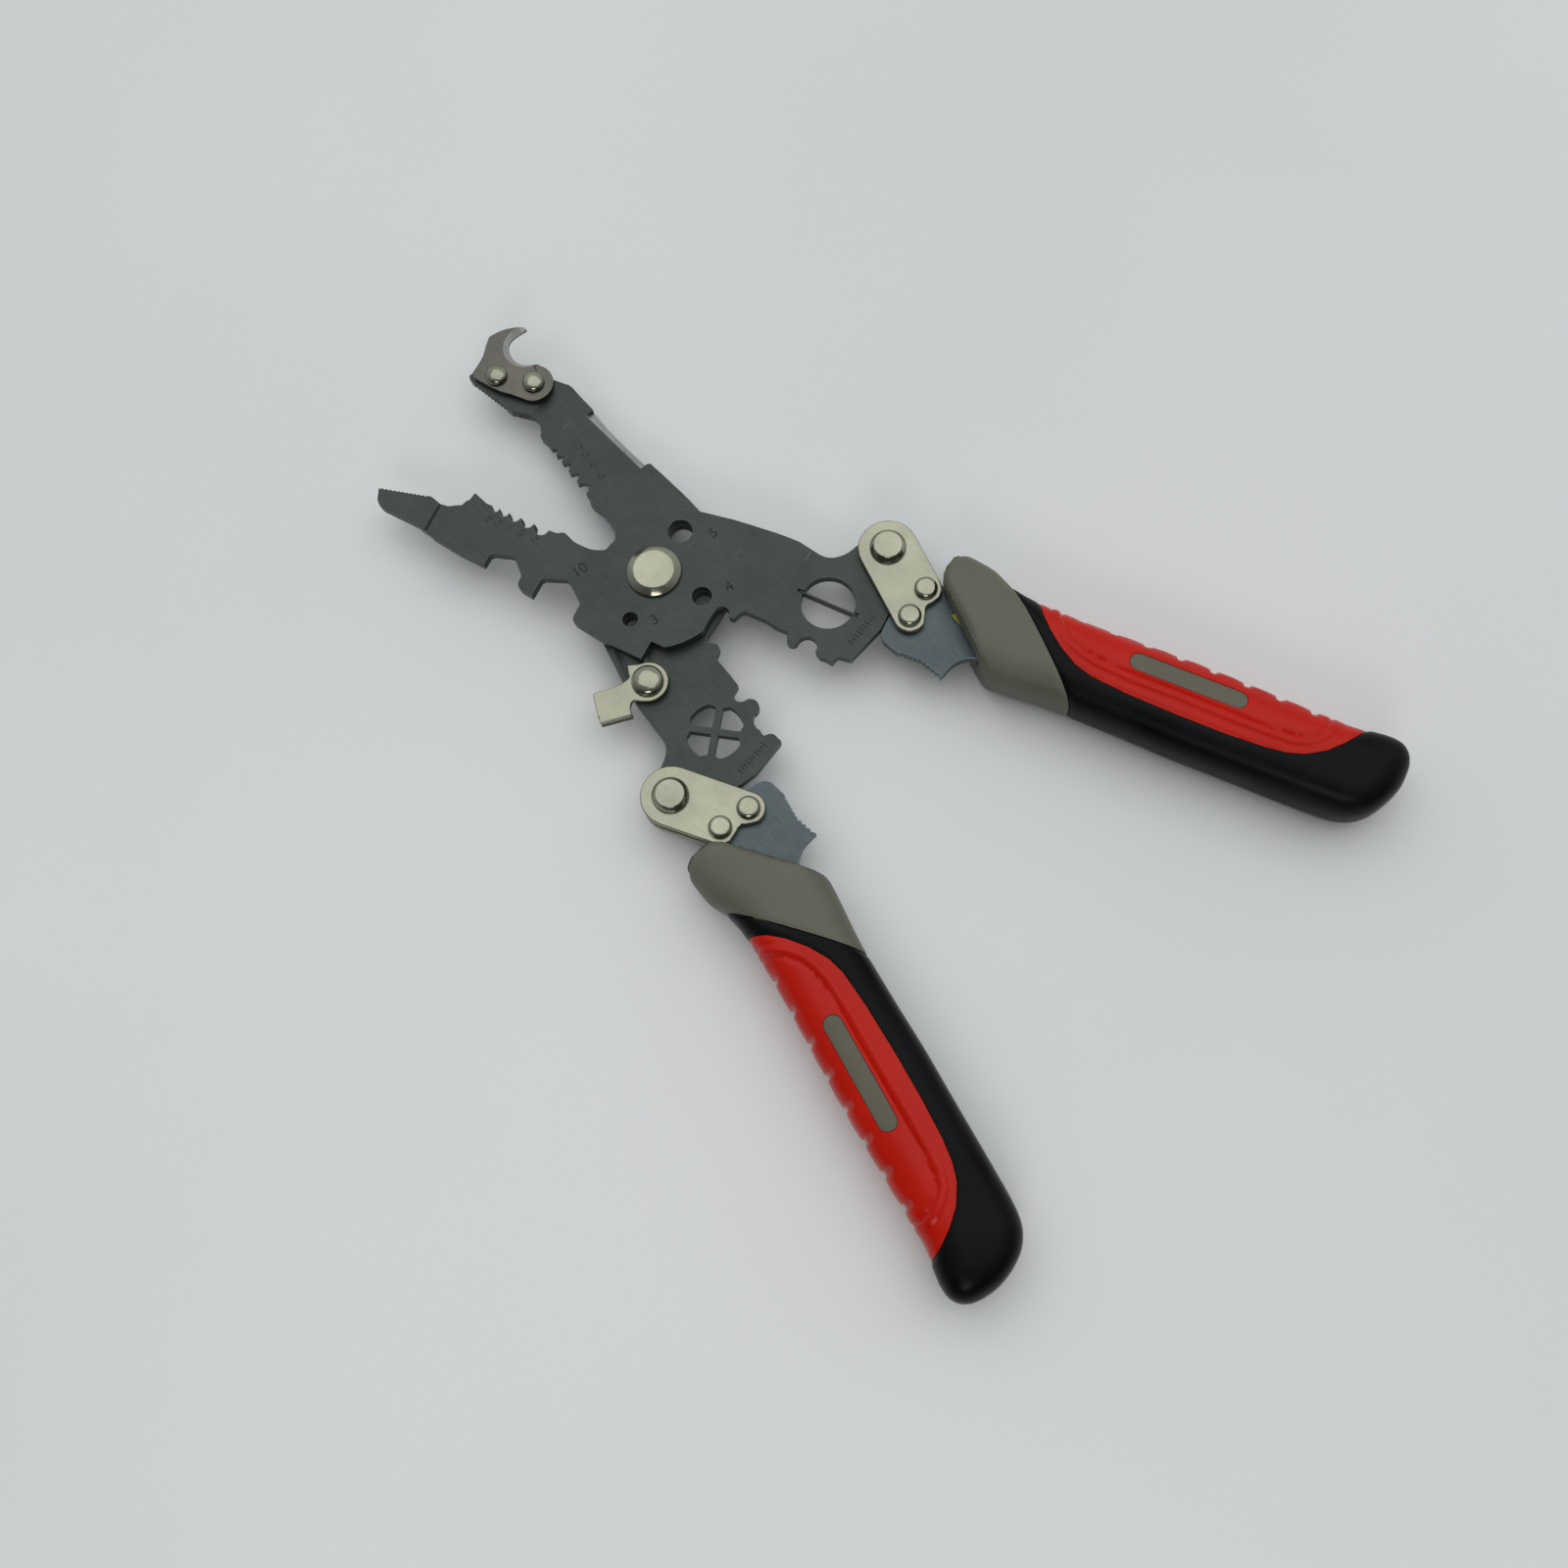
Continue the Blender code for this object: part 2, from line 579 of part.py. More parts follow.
def latch_outline():
    nose = [(-4.0, 2.15), (-5.6, 1.4), (-4.35, -0.6)]
    barrel = arc((0, 0), LATCH_R, 195, 396, 20)
    neck = smooth([(2.6, 3.7), (1.7, 4.6), (1.9, 5.6)])
    arm = [(2.75, 6.3), (0.35, 12.5), (-0.1, 12.6), (-4.5, 10.8), (-4.75, 10.3)]
    side = smooth([(-3.6, 7.2), (-2.95, 4.8), (-3.0, 3.0), (-3.3, 2.4)])
    return [*nose, *barrel, *neck, *arm, *side]


def latch_lever(parent, nickel):
    """The lock lever: a sheet-metal arm with a lip turned down along its far edge."""
    top = -LAYER_LOW
    low = top - LATCH_SHEET
    lever = sheet("latch_lever", [latch_outline(), circle((0, 0), SHANK_R + RUNNING, 16)], low, top)
    lip = sheet("cutter", [[(2.75, 6.3), (3.95, 6.75), (1.5, 13.1), (0.3, 12.6)]], low, low + LATCH_LIP,
                CUTTERS)
    cut(lever, lip, "UNION")
    lever.location = Vector((*LATCH_POINT, 0)) * MM
    return finish(lever, nickel, parent)


# ---------------------------------------------------------------- links and handle steel

def link_outline():
    (x1, y1), (x2, y2) = LINK_RIVETS
    outer = belt([(*FOLD_POINT, LINK_R), (x2, y2, LOBE_R), (x1, y1, LOBE_R)])
    span = math.hypot(x2 - x1, y2 - y1)
    reach = math.sqrt((LOBE_R + LOBE_FILLET) ** 2 - (span / 2) ** 2)
    normal = Vector((y1 - y2, -(x1 - x2))).normalized()
    middle = Vector(((x1 + x2) / 2, (y1 + y2) / 2))
    bite = middle + normal * reach
    kept = [point for point in outer if (Vector(point) - middle).dot(normal) < reach * 0.72
            or (Vector(point) - bite).length > LOBE_FILLET * 2.1]
    towards = [math.degrees(math.atan2(y - bite.y, x - bite.x)) % 360 for x, y in ((x2, y2), (x1, y1))]
    notch = arc(bite, LOBE_FILLET, towards[0], towards[1], 6)
    place = min(range(len(kept)), key=lambda i: (Vector(kept[i]) - Vector(notch[0])).length)
    return [*kept[:place + 1], *notch, *kept[place + 1:]]


def link(name, low, high, parent, nickel):
    loops = [link_outline(), circle(FOLD_POINT, SHANK_R + RUNNING, 16)]
    loops += [circle(spot, SHANK_R + RUNNING, 16) for spot in LINK_RIVETS]
    return finish(sheet(name, loops, low, high), nickel, parent)


def tang_outline():
    """The handle's steel: crimping teeth on its inner edge and a tongue that runs into the grip."""
    front = [(49.3, 22.4), (49.0, 20.0), (49.0, 8.6),
             *smooth([(49.3, 7.4), (50.1, 6.5), (51.4, 6.05), (53.8, 5.4)])]
    jaw = [*teeth((54.4, 5.4), (59.3, 5.6), 5, -0.45)[:-1], *teeth((59.3, 5.6), (63.9, 4.3), 4, -0.45)]
    claw = smooth([(64.35, 4.1), (64.8, 6.2), (65.5, 8.0), (66.8, 9.6), (68.8, 10.8), (71.2, 11.4)])
    tongue = [(73.4, 12.9), (82.0, 14.2), *smooth([(83.6, 15.0), (84.2, 16.6), (83.6, 18.2), (82.0, 19.0)]),
              (66.0, 19.4), (58.5, 22.0), *smooth([(56.0, 22.8), (53.0, 23.4), (50.0, 23.2)])]
    return [*front, *jaw, *claw, *tongue]


def handle_tang(name, parent, steel):
    loops = [tang_outline(), *[circle(spot, SHANK_R + RUNNING, 16) for spot in LINK_RIVETS]]
    return finish(sheet(name, loops, -SHEET_HALF, SHEET_HALF), steel, parent)


# ---------------------------------------------------------------- grip

def grip_body_blank(name, collection=PARTS):
    """The whole grip as one soft form: rounded sections along the handle, bridged."""
    work = bmesh.new()
    rings = []
    for x, inner, outer, half in GRIP_STATIONS:
        middle, spread = (inner + outer) / 2, (outer - inner) / 2
        ring = []
        for i in range(GRIP_SIDES):
            angle = 2 * math.pi * (i + 0.5) / GRIP_SIDES
            c, s = math.cos(angle), math.sin(angle)
            y = middle + spread * math.copysign(abs(c) ** (2 / GRIP_POWER), c)
            z = half * math.copysign(abs(s) ** (2 / GRIP_POWER), s)
            ring.append(work.verts.new(Vector((x, y, z)) * MM))
        edges = [work.edges.new((ring[i], ring[(i + 1) % GRIP_SIDES])) for i in range(GRIP_SIDES)]
        rings.append(edges)
    for first, second in zip(rings, rings[1:]):
        bmesh.ops.bridge_loops(work, edges=[*first, *second])
    for edges in (rings[0], rings[-1]):
        bmesh.ops.contextual_create(work, geom=edges)
    bmesh.ops.recalc_face_normals(work, faces=work.faces)
    mesh = bpy.data.meshes.new(name)
    work.to_mesh(mesh)
    work.free()
    return add_object(name, mesh, collection)


def collar_region(gap=0.0):
    """Plan of the collar: its slanted mouth at the links and its slanted joint to the grip body."""
    return [(73.6, 6.0), (71.6, 8.6), (70.2, 10.2), (56.0, 21.2), (54.7, 23.0), (54.5, 25.0), (55.2, 28.0),
            (56.6, 30.2), (58.6, 32.0), (64.4 - gap, 32.0), (93.5 - gap, 6.0)]


def body_region():
    return [(64.4 + GRIP_GAP, 32.0), (160.0, 32.0), (160.0, 6.0), (93.5 + GRIP_GAP, 6.0)]


def panel_region(gap=0.0):
    """Plan of the red panel, which wraps the outer side of the grip body."""
    side = [(75.0, 33.0), (75.9, 26.6), (77.9, 23.4), (80.7, 20.5), (84.2, 17.8), (88.2, 15.6),
            (92.0, 14.6), (99.5, 14.2), (110.0, 14.2), (120.0, 14.5), (128.0, 15.1), (132.4, 15.8),
            (135.8, 17.0), (139.4, 19.5), (142.0, 22.6), (144.0, 25.7), (145.4, 28.6), (146.4, 33.0)]
    centre = Vector((111.0, 33.0))
    return [tuple(Vector(p) + (Vector(p) - centre).normalized() * gap) for p in side]


def core_front(gap):
    return [(54.8 - gap, 23.8 + gap), (54.0 - gap, 21.4), (58.4, 17.9 - gap), (71.2, 12.6 - gap),
            (76.0 + gap, 12.6 - gap), (76.0 + gap, 22.2 + gap), (74.0, 23.8 + gap)]


def core_rear(gap):
    return [(75.0, 13.2 - gap), (134.0, 13.2 - gap), (136.0 + gap, 15.2), (136.0 + gap, 19.2),
            (134.0, 21.2 + gap), (75.0, 21.2 + gap)]


def carve_core_space(part):
    cut(part, cutter_sheet(core_front(GRIP_GAP), -CORE_FRONT_HALF - GRIP_GAP, CORE_FRONT_HALF + GRIP_GAP))
    cut(part, cutter_sheet(core_rear(GRIP_GAP), -CORE_REAR_HALF - GRIP_GAP, CORE_REAR_HALF + GRIP_GAP))


def grip_core(name, parent, plastic):
    """The stiff inner core, slotted for the tang and pocketed for the link ends."""
    core = sheet(name, [core_front(0)], -CORE_FRONT_HALF, CORE_FRONT_HALF)
    cut(core, cutter_sheet(core_rear(0), -CORE_REAR_HALF, CORE_REAR_HALF), "UNION")
    pocket = [(50.0, 27.0), (50.0, 12.0), (59.6, 12.0), (60.6, 17.0), (59.6, 27.0)]
    cut(core, cutter_sheet(pocket, -CORE_POCKET_HALF, CORE_POCKET_HALF))
    slot = [(50.0, 27.0), (50.0, 10.0), (84.6, 10.0), (84.6, 23.5), (62.0, 23.5), (58.0, 27.0)]
    cut(core, cutter_sheet(slot, -SHEET_HALF - RUNNING, SHEET_HALF + RUNNING))
    return finish(core, plastic, parent, smooth=False)


def grip_collar(name, parent, rubber):
    collar = grip_body_blank(name)
    cut(collar, cutter_sheet(collar_region(), -GRIP_REACH, GRIP_REACH), "INTERSECT")
    carve_core_space(collar)
    mouth = [(48.0, 26.0), (48.0, 10.0), (60.0, 10.0), (72.0, 8.0), (73.5, 12.3), (62.0, 23.0), (57.0, 24.5)]
    cut(collar, cutter_sheet(mouth, -SHEET_HALF - 2 * RUNNING, SHEET_HALF + 2 * RUNNING))
    return finish(collar, rubber, parent)


def panel_space(gap):
    """The room for the red panel: its plan through the whole grip, less the inner block."""
    room = cutter_sheet(panel_region(gap), -GRIP_REACH, GRIP_REACH)
    block = [(60.0, 5.0), (160.0, 5.0), (160.0, PANEL_INNER_Y - gap), (60.0, PANEL_INNER_Y - gap)]
    tool = sheet("cutter_block", [block], -PANEL_INNER_HALF + gap, PANEL_INNER_HALF - gap, CUTTERS)
    return cut(room, tool)


def grip_body(name, parent, rubber):
    body = grip_body_blank(name)
    cut(body, cutter_sheet(body_region(), -GRIP_REACH, GRIP_REACH), "INTERSECT")
    cut(body, panel_space(GRIP_GAP))
    carve_core_space(body)
    return finish(body, rubber, parent)


def grip_outer_side(x):
    """The grip's outer side at x, between the stations each side of it."""
    for (x0, _, y0, _), (x1, _, y1, _) in zip(GRIP_STATIONS, GRIP_STATIONS[1:]):
        if x <= x1:
            return y0 + (y1 - y0) * (x - x0) / (x1 - x0)
    return GRIP_STATIONS[-1][2]


def pad_outline(gap=0.0):
    (x0, y0), (x1, y1) = PAD_ENDS
    lean = math.degrees(math.atan2(y1 - y0, x1 - x0))
    radius = PAD_R + gap
    rear = arc(PAD_ENDS[0], radius, lean + 90, lean + 270, 8)
    front = arc(PAD_ENDS[1], radius, lean - 90, lean + 90, 8)
    return [*rear, *front]


def grip_panel(name, parent, plastic):
    """The hard panel that wraps the outer side, with ribs across its edge and a pad recess each side."""
    panel = grip_body_blank(name)
    cut(panel, panel_space(0.0), "INTERSECT")
    for side in (1, -1):
        low, high = sorted((side * (PAD_LOW - GRIP_GAP), side * GRIP_REACH))
        cut(panel, cutter_sheet(pad_outline(GRIP_GAP), low, high))
    for i in range(RIB_COUNT):
        x = RIB_FIRST + RIB_PITCH * i
        y = grip_outer_side(x) + RIB_CUT_R - RIB_DEPTH
        cut(panel, cutter_sheet(circle((x, y), RIB_CUT_R, 8), -GRIP_REACH, GRIP_REACH))
    return finish(panel, plastic, parent)


def grip_pad(name, side, parent, rubber):
    low, high = sorted((side * PAD_LOW, side * PAD_HIGH))
    return finish(sheet(name, [pad_outline()], low, high), rubber, parent)


def handle(letter, parent, looks):
    """All that folds with one handle, drawn unfolded about the fold rivet."""
    return [
        link(f"link_top_{letter}", LINK_LOW, LINK_HIGH, parent, looks["nickel"]),
        link(f"link_bottom_{letter}", -LINK_HIGH, -LINK_LOW, parent, looks["nickel"]),
        rivet(f"fold_rivet_{letter}", FOLD_POINT, parent, looks["nickel"], *FOLD_RIVET),
        rivet(f"link_rivet_outer_{letter}", LINK_RIVETS[0], parent, looks["nickel"], *LINK_RIVET),
        rivet(f"link_rivet_inner_{letter}", LINK_RIVETS[1], parent, looks["nickel"], *LINK_RIVET),
        handle_tang(f"handle_tang_{letter}", parent, looks["blued"]),
        grip_core(f"grip_core_{letter}", parent, looks["yellow"]),
        grip_collar(f"grip_collar_{letter}", parent, looks["taupe"]),
        grip_body(f"grip_body_{letter}", parent, looks["black"]),
        grip_panel(f"grip_panel_{letter}", parent, looks["red"]),
        grip_pad(f"grip_pad_top_{letter}", 1, parent, looks["taupe"]),
        grip_pad(f"grip_pad_bottom_{letter}", -1, parent, looks["taupe"]),
    ]


def hang_on_fold(parts, fold):
    """Moves drawn parts under the fold empty, whose origin is the fold rivet's axis."""
    for part in parts:
        part.parent = fold
        part.location -= Vector((*FOLD_POINT, 0)) * MM


# ---------------------------------------------------------------- assembly

def palette():
    return {
        "dark": material("dark_steel", (0.045, 0.052, 0.054), 0.42, 0.85),
        "blued": material("blued_steel", (0.09, 0.11, 0.125), 0.4, 0.85),
        "nickel": material("nickel_plate", (0.42, 0.41, 0.33), 0.3, 1.0),
        "stainless": material("stainless", (0.2, 0.18, 0.15), 0.35, 1.0),
        "spring": material("spring_steel", (0.3, 0.3, 0.3), 0.35, 1.0),
        "taupe": material("taupe_rubber", (0.14, 0.135, 0.105), 0.65, 0.0),
        "black": material("black_rubber", (0.004, 0.006, 0.008), 0.55, 0.0),
        "red": material("red_plastic", (0.42, 0.008, 0.004), 0.25, 0.0),
        "yellow": material("yellow_plastic", (0.35, 0.3, 0.03), 0.45, 0.0),
    }


def rest_on_floor(frame):
    """Puts the frame's origin below the middle of the whole object, at its lowest point."""
    bpy.context.view_layer.update()
    corners = []
    for part in bpy.data.collections[PARTS].objects:
        if part.type == "MESH":
            corners += [part.matrix_world @ vertex.co for vertex in part.data.vertices]
    low = [min(corner[axis] for corner in corners) for axis in range(3)]
    high = [max(corner[axis] for corner in corners) for axis in range(3)]
    frame.location = (-(low[0] + high[0]) / 2, -(low[1] + high[1]) / 2, -low[2])
    bpy.context.view_layer.update()


def main():
    clear_scene()
    looks = palette()
    frame = empty("frame")
    half_a = empty("half_a", frame, rotation=(0, 0, OPENING / 2))
    half_b = empty("half_b", frame, rotation=(180, 0, -OPENING / 2))
    fold_a = empty("fold_a", half_a, (*FOLD_POINT, 0))
    fold_b = empty("fold_b", half_b, (*FOLD_POINT, 0), (0, 0, HANDLE_B_FOLD))

    jaw_plate_a(half_a, looks["dark"])
    rivet("pivot_rivet", (0, 0), half_a, looks["nickel"], PIVOT_HEAD_R, PIVOT_FLAT_R, LAYER_HIGH + 0.2,
          PIVOT_TOP, PIVOT_SHANK_R, 32)
    pivot_spring(half_a, looks["spring"])
    splitter_blade(half_a, looks["stainless"])

    jaw_plate_b(half_b, looks["dark"])
    hook_blade(half_b, looks["stainless"])
    for name, spot in zip(("hook_rivet_rear", "hook_rivet_front"), HOOK_RIVETS):
        dome_rivet(name, spot, half_b, looks["nickel"], 2.4, 2.9, HOOK_LAYER[1], 1.5, SHANK_R)
    dome_rivet("latch_rivet", LATCH_POINT, half_b, looks["nickel"], 3.4, LAYER_LOW + LATCH_SHEET + 0.2,
               -LAYER_HIGH - 0.2, 1.9, SHANK_R)
    latch_lever(half_b, looks["nickel"])

    hang_on_fold(handle("a", half_a, looks), fold_a)
    hang_on_fold(handle("b", half_b, looks), fold_b)
    rest_on_floor(frame)


main()
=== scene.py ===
"""Folding wire stripper: the finished pieces and a plain studio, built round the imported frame.

A half is drawn closed, in millimetres: the main pivot is the origin, +X runs towards its handle and
the handle is on the +Y side. A place matrix then turns, flips and scales the drawing into the frame.
"""

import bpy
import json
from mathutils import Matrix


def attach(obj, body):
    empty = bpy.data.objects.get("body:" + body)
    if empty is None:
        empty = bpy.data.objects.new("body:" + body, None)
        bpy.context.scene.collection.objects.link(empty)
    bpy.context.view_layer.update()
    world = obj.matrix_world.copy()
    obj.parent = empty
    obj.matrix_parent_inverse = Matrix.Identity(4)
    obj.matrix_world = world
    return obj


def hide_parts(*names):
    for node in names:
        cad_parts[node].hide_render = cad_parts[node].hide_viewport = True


bl_info = {
    "name": "Folding Wire Stripper",
    "version": (1, 0, 0),
    "blender": (4, 5, 0),
    "location": "View3D > Sidebar > Stripper",
    "description": "Builds the finished pieces of a folding wire stripper and a studio round them",
    "category": "Object",
}

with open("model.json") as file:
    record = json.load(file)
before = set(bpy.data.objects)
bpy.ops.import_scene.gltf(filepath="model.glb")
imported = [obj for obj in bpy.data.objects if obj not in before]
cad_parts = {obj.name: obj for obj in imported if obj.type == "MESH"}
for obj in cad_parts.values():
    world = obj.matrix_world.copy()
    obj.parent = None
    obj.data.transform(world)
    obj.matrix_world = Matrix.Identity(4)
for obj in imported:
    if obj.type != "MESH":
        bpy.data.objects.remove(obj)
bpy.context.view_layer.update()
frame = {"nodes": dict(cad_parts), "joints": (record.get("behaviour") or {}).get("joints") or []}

import json
import math

import bmesh
import bpy
import numpy as np
from bpy.props import FloatProperty, FloatVectorProperty, IntProperty, PointerProperty
from bpy.types import Operator, Panel, PropertyGroup
from mathutils import Matrix, Vector

# Lengths are in the drawing's millimetres unless a comment over them says metres
MM = 0.001
JOINTS = {joint["name"]: joint for joint in frame["joints"]}
PIVOT = Vector(JOINTS["jaw_pivot"]["pos_m"])
WELD = 0.0005
NEAR = 0.01
CUT_REACH = 12.0
FLAT = math.radians(0.2)

# Plates
FOLD_POINT = Vector((42.5, 25.2))
PLATE_TOP_A = 2.5
PLATE_TOP_B = -0.15
TANG_TOP = 1.175

# Bends on the visible faces that are eased: (pressed ends, eased ends, levels at the two ends)
BENDS = {
    "a": (((26.5, 28.3), (25.0, 29.9), (PLATE_TOP_A, TANG_TOP)),),
    "b": (((23.8, 25.4), (23.8, 28.4), (-PLATE_TOP_B, -TANG_TOP)),
          ((-50.8, -49.2), (-50.8, -46.4), (-TANG_TOP, -PLATE_TOP_B))),
}

# Stripping notches, as (x, radius), the y of each half's stripping edge, and how the V is opened
STRIP_NOTCHES = ((-38.3, 0.55), (-36.1, 0.7), (-33.5, 0.85), (-30.3, 1.0), (-26.9, 1.3))
STRIP_EDGE = {"a": -0.8, "b": 1.05}
NOTCH_RISE = 0.6
NOTCH_EXTRA_DEPTH = 0.6
NOTCH_EXTRA_HALF = 0.5
NOTCH_HALF_PER_RADIUS = 0.75

# Half B's spine: its slanted ground faces, and how much wider than pressed the flat is
SLANTED = 0.4
SPINE_WIDEN = 0.55

# Stamped numerals, as (name, text, x, y, height, turn), and the wire sizes along the notches, as (text, x)
PLATE_NUMERALS = (
    ("mark_shear_5", "5", 7.4, 13.2, 3.3, 60), ("mark_shear_4", "4", 16.0, 3.6, 3.3, 60),
    ("mark_shear_3", "3", 5.0, -9.6, 3.3, 60), ("mark_hook_10", "10", -14.6, -6.2, 3.4, 62),
)
WIRE_SIZES = (("1.0", -38.3), ("1.4", -35.9), ("1.7", -33.3), ("2.0", -30.3), ("2.6", -26.9))
WIRE_SIZE_Y = {"a": -3.9, "b": 4.0}
WIRE_SIZE_HEIGHT = 1.5
WIRE_SIZE_TURN = 62
MARK_RISE = 0.012

# Rows of strokes at the tang ends, as (first, last, how many), and a stroke's width and lengths
STROKE_ROWS = {"a": ((44.2, 3.4), (46.0, 10.4), 9), "b": ((44.6, -3.6), (46.2, -10.8), 10)}
STROKE_WIDTH = 0.32
STROKE_LENGTHS = (1.5, 1.0, 1.25)

# Rivets, as (x, y) in a half's drawing, and their shanks
HOOK_RIVETS = {"rear": (-53.4, -4.35), "front": (-59.9, 1.25)}
LATCH_POINT = (18.9, 14.9)
LINK_RIVETS = {"outer": (53.6, 20.0), "inner": (53.1, 13.1)}
SHANK_R = 1.7
LINK_SHANK_R = 1.4
PIVOT_SHANK_R = 3.0
DOME_RIM = 0.25
DOME_STEPS = 6
FLAT_RIM_SHARE = 0.3
FOOT_SHARE = 0.85
FOOT_FLAT_SHARE = 0.6
FOOT_RIM = 0.4
FOOT_HEIGHT = 0.8

# Latch lever's lip, in its half's drawing: a point on its outer face, the way it runs and its heights
LIP_POINT = (21.65, 21.25)
LIP_RUN = (-2.45, 6.35)
LIP_GROOVES = (0.35, 0.8, 1.25)
LIP_DEEP = 1.25
LIP_GROOVE_SIZE = (0.35, 0.2)
LIP_SPARE = 2.0
LEVER_EDGE_SHARE = 0.7

# Hook blade: the cone that grinds its inner curve, by its centre, end radii and end heights
HOOK_GRIND_CENTRE = (-62.0, -8.0)
HOOK_GRIND_RADII = (5.55, 3.35)
HOOK_GRIND_HEIGHTS = (-3.1, -1.3)
HOOK_GROUND_SLOPES = (0.3, 0.95)

# Edge roundings of the thin blades and the cores, in metres
HOOK_EDGE = 0.00008
SPLITTER_EDGE = 0.00005
CORE_EDGE = 0.0002

# Grip: stations along the handle, as (x, inner side, outer side, half thickness)
GRIP_STATIONS = (
    (53.0, 8.0, 30.6, 7.2),
    (58.0, 7.9, 30.6, 7.5),
    (64.5, 7.1, 29.8, 7.8),
    (68.0, 6.9, 28.4, 8.0),
    (72.0, 6.8, 27.2, 8.0),
    (78.0, 7.2, 26.7, 8.0),
    (88.0, 8.2, 26.7, 8.0),
    (100.0, 8.5, 27.2, 8.0),
    (112.0, 8.55, 27.7, 8.0),
    (124.0, 8.95, 27.8, 8.0),
    (136.0, 9.3, 27.8, 8.0),
    (143.0, 9.6, 28.1, 8.0),
    (147.0, 10.1, 28.9, 7.9),
    (150.0, 11.3, 29.3, 7.5),
    (152.4, 13.4, 29.1, 6.7),
    (154.2, 16.4, 28.0, 5.3),
    (155.3, 19.4, 26.2, 3.4),
    (155.7, 21.6, 24.2, 1.4),
)
GRIP_POWER = 2.8
GRIP_SIDES = 132
GRIP_STEP = 0.42
GRIP_GAP = 0.12

# Grip plans
COLLAR_MOUTH = ((76.0, 5.0), (57.2, 21.2), (56.1, 23.0), (55.9, 25.0), (56.3, 28.0), (57.4, 30.2),
                (59.2, 32.0))
COLLAR_SEAM = ((64.4, 32.0), (93.5, 6.0))
PANEL_EDGE = ((75.0, 33.0), (75.9, 26.6), (77.9, 23.4), (80.7, 20.5), (84.2, 17.8), (88.2, 15.6),
              (92.0, 14.6), (99.5, 14.2), (110.0, 14.2), (120.0, 14.5), (128.0, 15.1), (132.4, 15.8),
              (135.8, 17.0), (139.4, 19.5), (142.0, 22.6), (144.0, 25.7), (145.4, 28.6), (146.4, 33.0))
PLATEAU_EDGE = ((78.2, 33.0), (78.5, 26.4), (79.6, 23.6), (81.6, 20.8), (84.5, 18.4), (88.1, 17.0),
                (92.0, 16.3), (100.0, 16.1), (110.0, 16.5), (120.0, 16.6), (128.0, 16.9), (133.0, 17.3),
                (136.0, 18.4), (138.0, 20.2), (139.8, 23.1), (140.8, 27.0), (141.2, 33.0))
CORE_HALF = 6.5
CORE_PLAN = ((58.9, 24.1), (58.9, 21.8), (61.0, 19.7), (71.0, 12.3), (76.3, 12.3), (76.3, 22.5),
             (74.0, 24.1))
CORE_TRIM = ((45.0, 30.0), (59.0, 30.0), (59.0, 21.9), (61.1, 19.8), (71.2, 12.4), (73.0, 5.0),
             (45.0, 5.0))
TONGUE_TRIM = ((45.0, 30.0), (58.2, 30.0), (58.2, 22.4), (56.4, 20.8), (60.4, 17.3), (62.6, 19.0),
               (71.6, 12.1), (73.0, 5.0), (45.0, 5.0))
TONGUE_HALF = 1.7
MOUTH_HALF = 1.775
MOUTH_PLAN = ((48.0, 26.0), (48.0, 10.2), (72.0, 10.2), (74.0, 12.4), (62.0, 23.0), (57.0, 24.5))
PANEL_INNER_HALF = 5.6
PANEL_INNER_Y = 24.8
PANEL_INNER_LOW_Y = 4.0
PANEL_INNER_X = 110.0
PANEL_INNER_LENGTH = 110.0
PAD_ENDS = (Vector((99.5, 21.4)), Vector((120.0, 22.1)))
PAD_R = 1.85
PAD_LOW = 6.6
PAD_SINK = 0.1
PAD_ARC_STEPS = 16
PANEL_MIDDLE = (111.0, 33.0)
REAR_CORNERS = ((170.0, 34.0), (170.0, 4.0))

# Grip relief: the mouth's rounding fades to MOUTH_LEAST of itself below MOUTH_FADE
MOUTH_LEAST = 0.3
MOUTH_FADE = 10.5
MOUTH_FADE_RUN = 5
SEAM_WIDTH = 0.4
FLANK_END = 25.0
FLANK_RUN = 2
RIB_FIRST = 78.4
RIB_PITCH = 7.0
RIB_LAST = 141.4
RIB_SIDE = 25.5
RIB_SIDE_RUN = 1.3
RIB_CROWN = 0.2
RIB_NOTCH_HALF = 0.7
RIB_NOTCH_RUN = 0.5
LINE_DEPTH = 0.16
LINE_WIDTH = 0.3
BEAD_MIDDLE = 1.25
BEAD_WIDTH = 0.75
GROOVE_WIDTH = 0.36
PLATEAU_LINE = 2.55

# Studio: the floor and lights, as (name, place, aim, size, watts, colour), are in metres, and the
# camera is in millimetres from the pivot
LIGHTS = (
    ("overhead", (-0.1, 0.3, 1.2), (0, 0, 0), (2.2, 1.6), 9.0, (1.0, 0.99, 0.96)),
    ("window", (0.72, -0.9, 0.8), (0.03, 0, 0), (0.6, 0.35), 3.0, (1.0, 0.97, 0.93)),
)
FLOOR_HALF = 3.0
CAMERA_PLACE = Vector((123.4, -72.8, 305.0))
CAMERA_AIM = Vector((50.7, -17.9, 0.0))
CAMERA_HEADING = math.radians(40.1)
SENSOR = 36.0
LENS = 36.0
SKY_BRIGHT_SIDE = (-0.55, 0.68, 0.48)
SKY_TONES = ((0.25, (0.09, 0.09, 0.09)), (0.5, (0.4, 0.42, 0.44)), (0.85, (0.95, 0.98, 1.0)))
SKY_STRENGTH = 0.7


# ---------------------------------------------------------------- sizes and colours

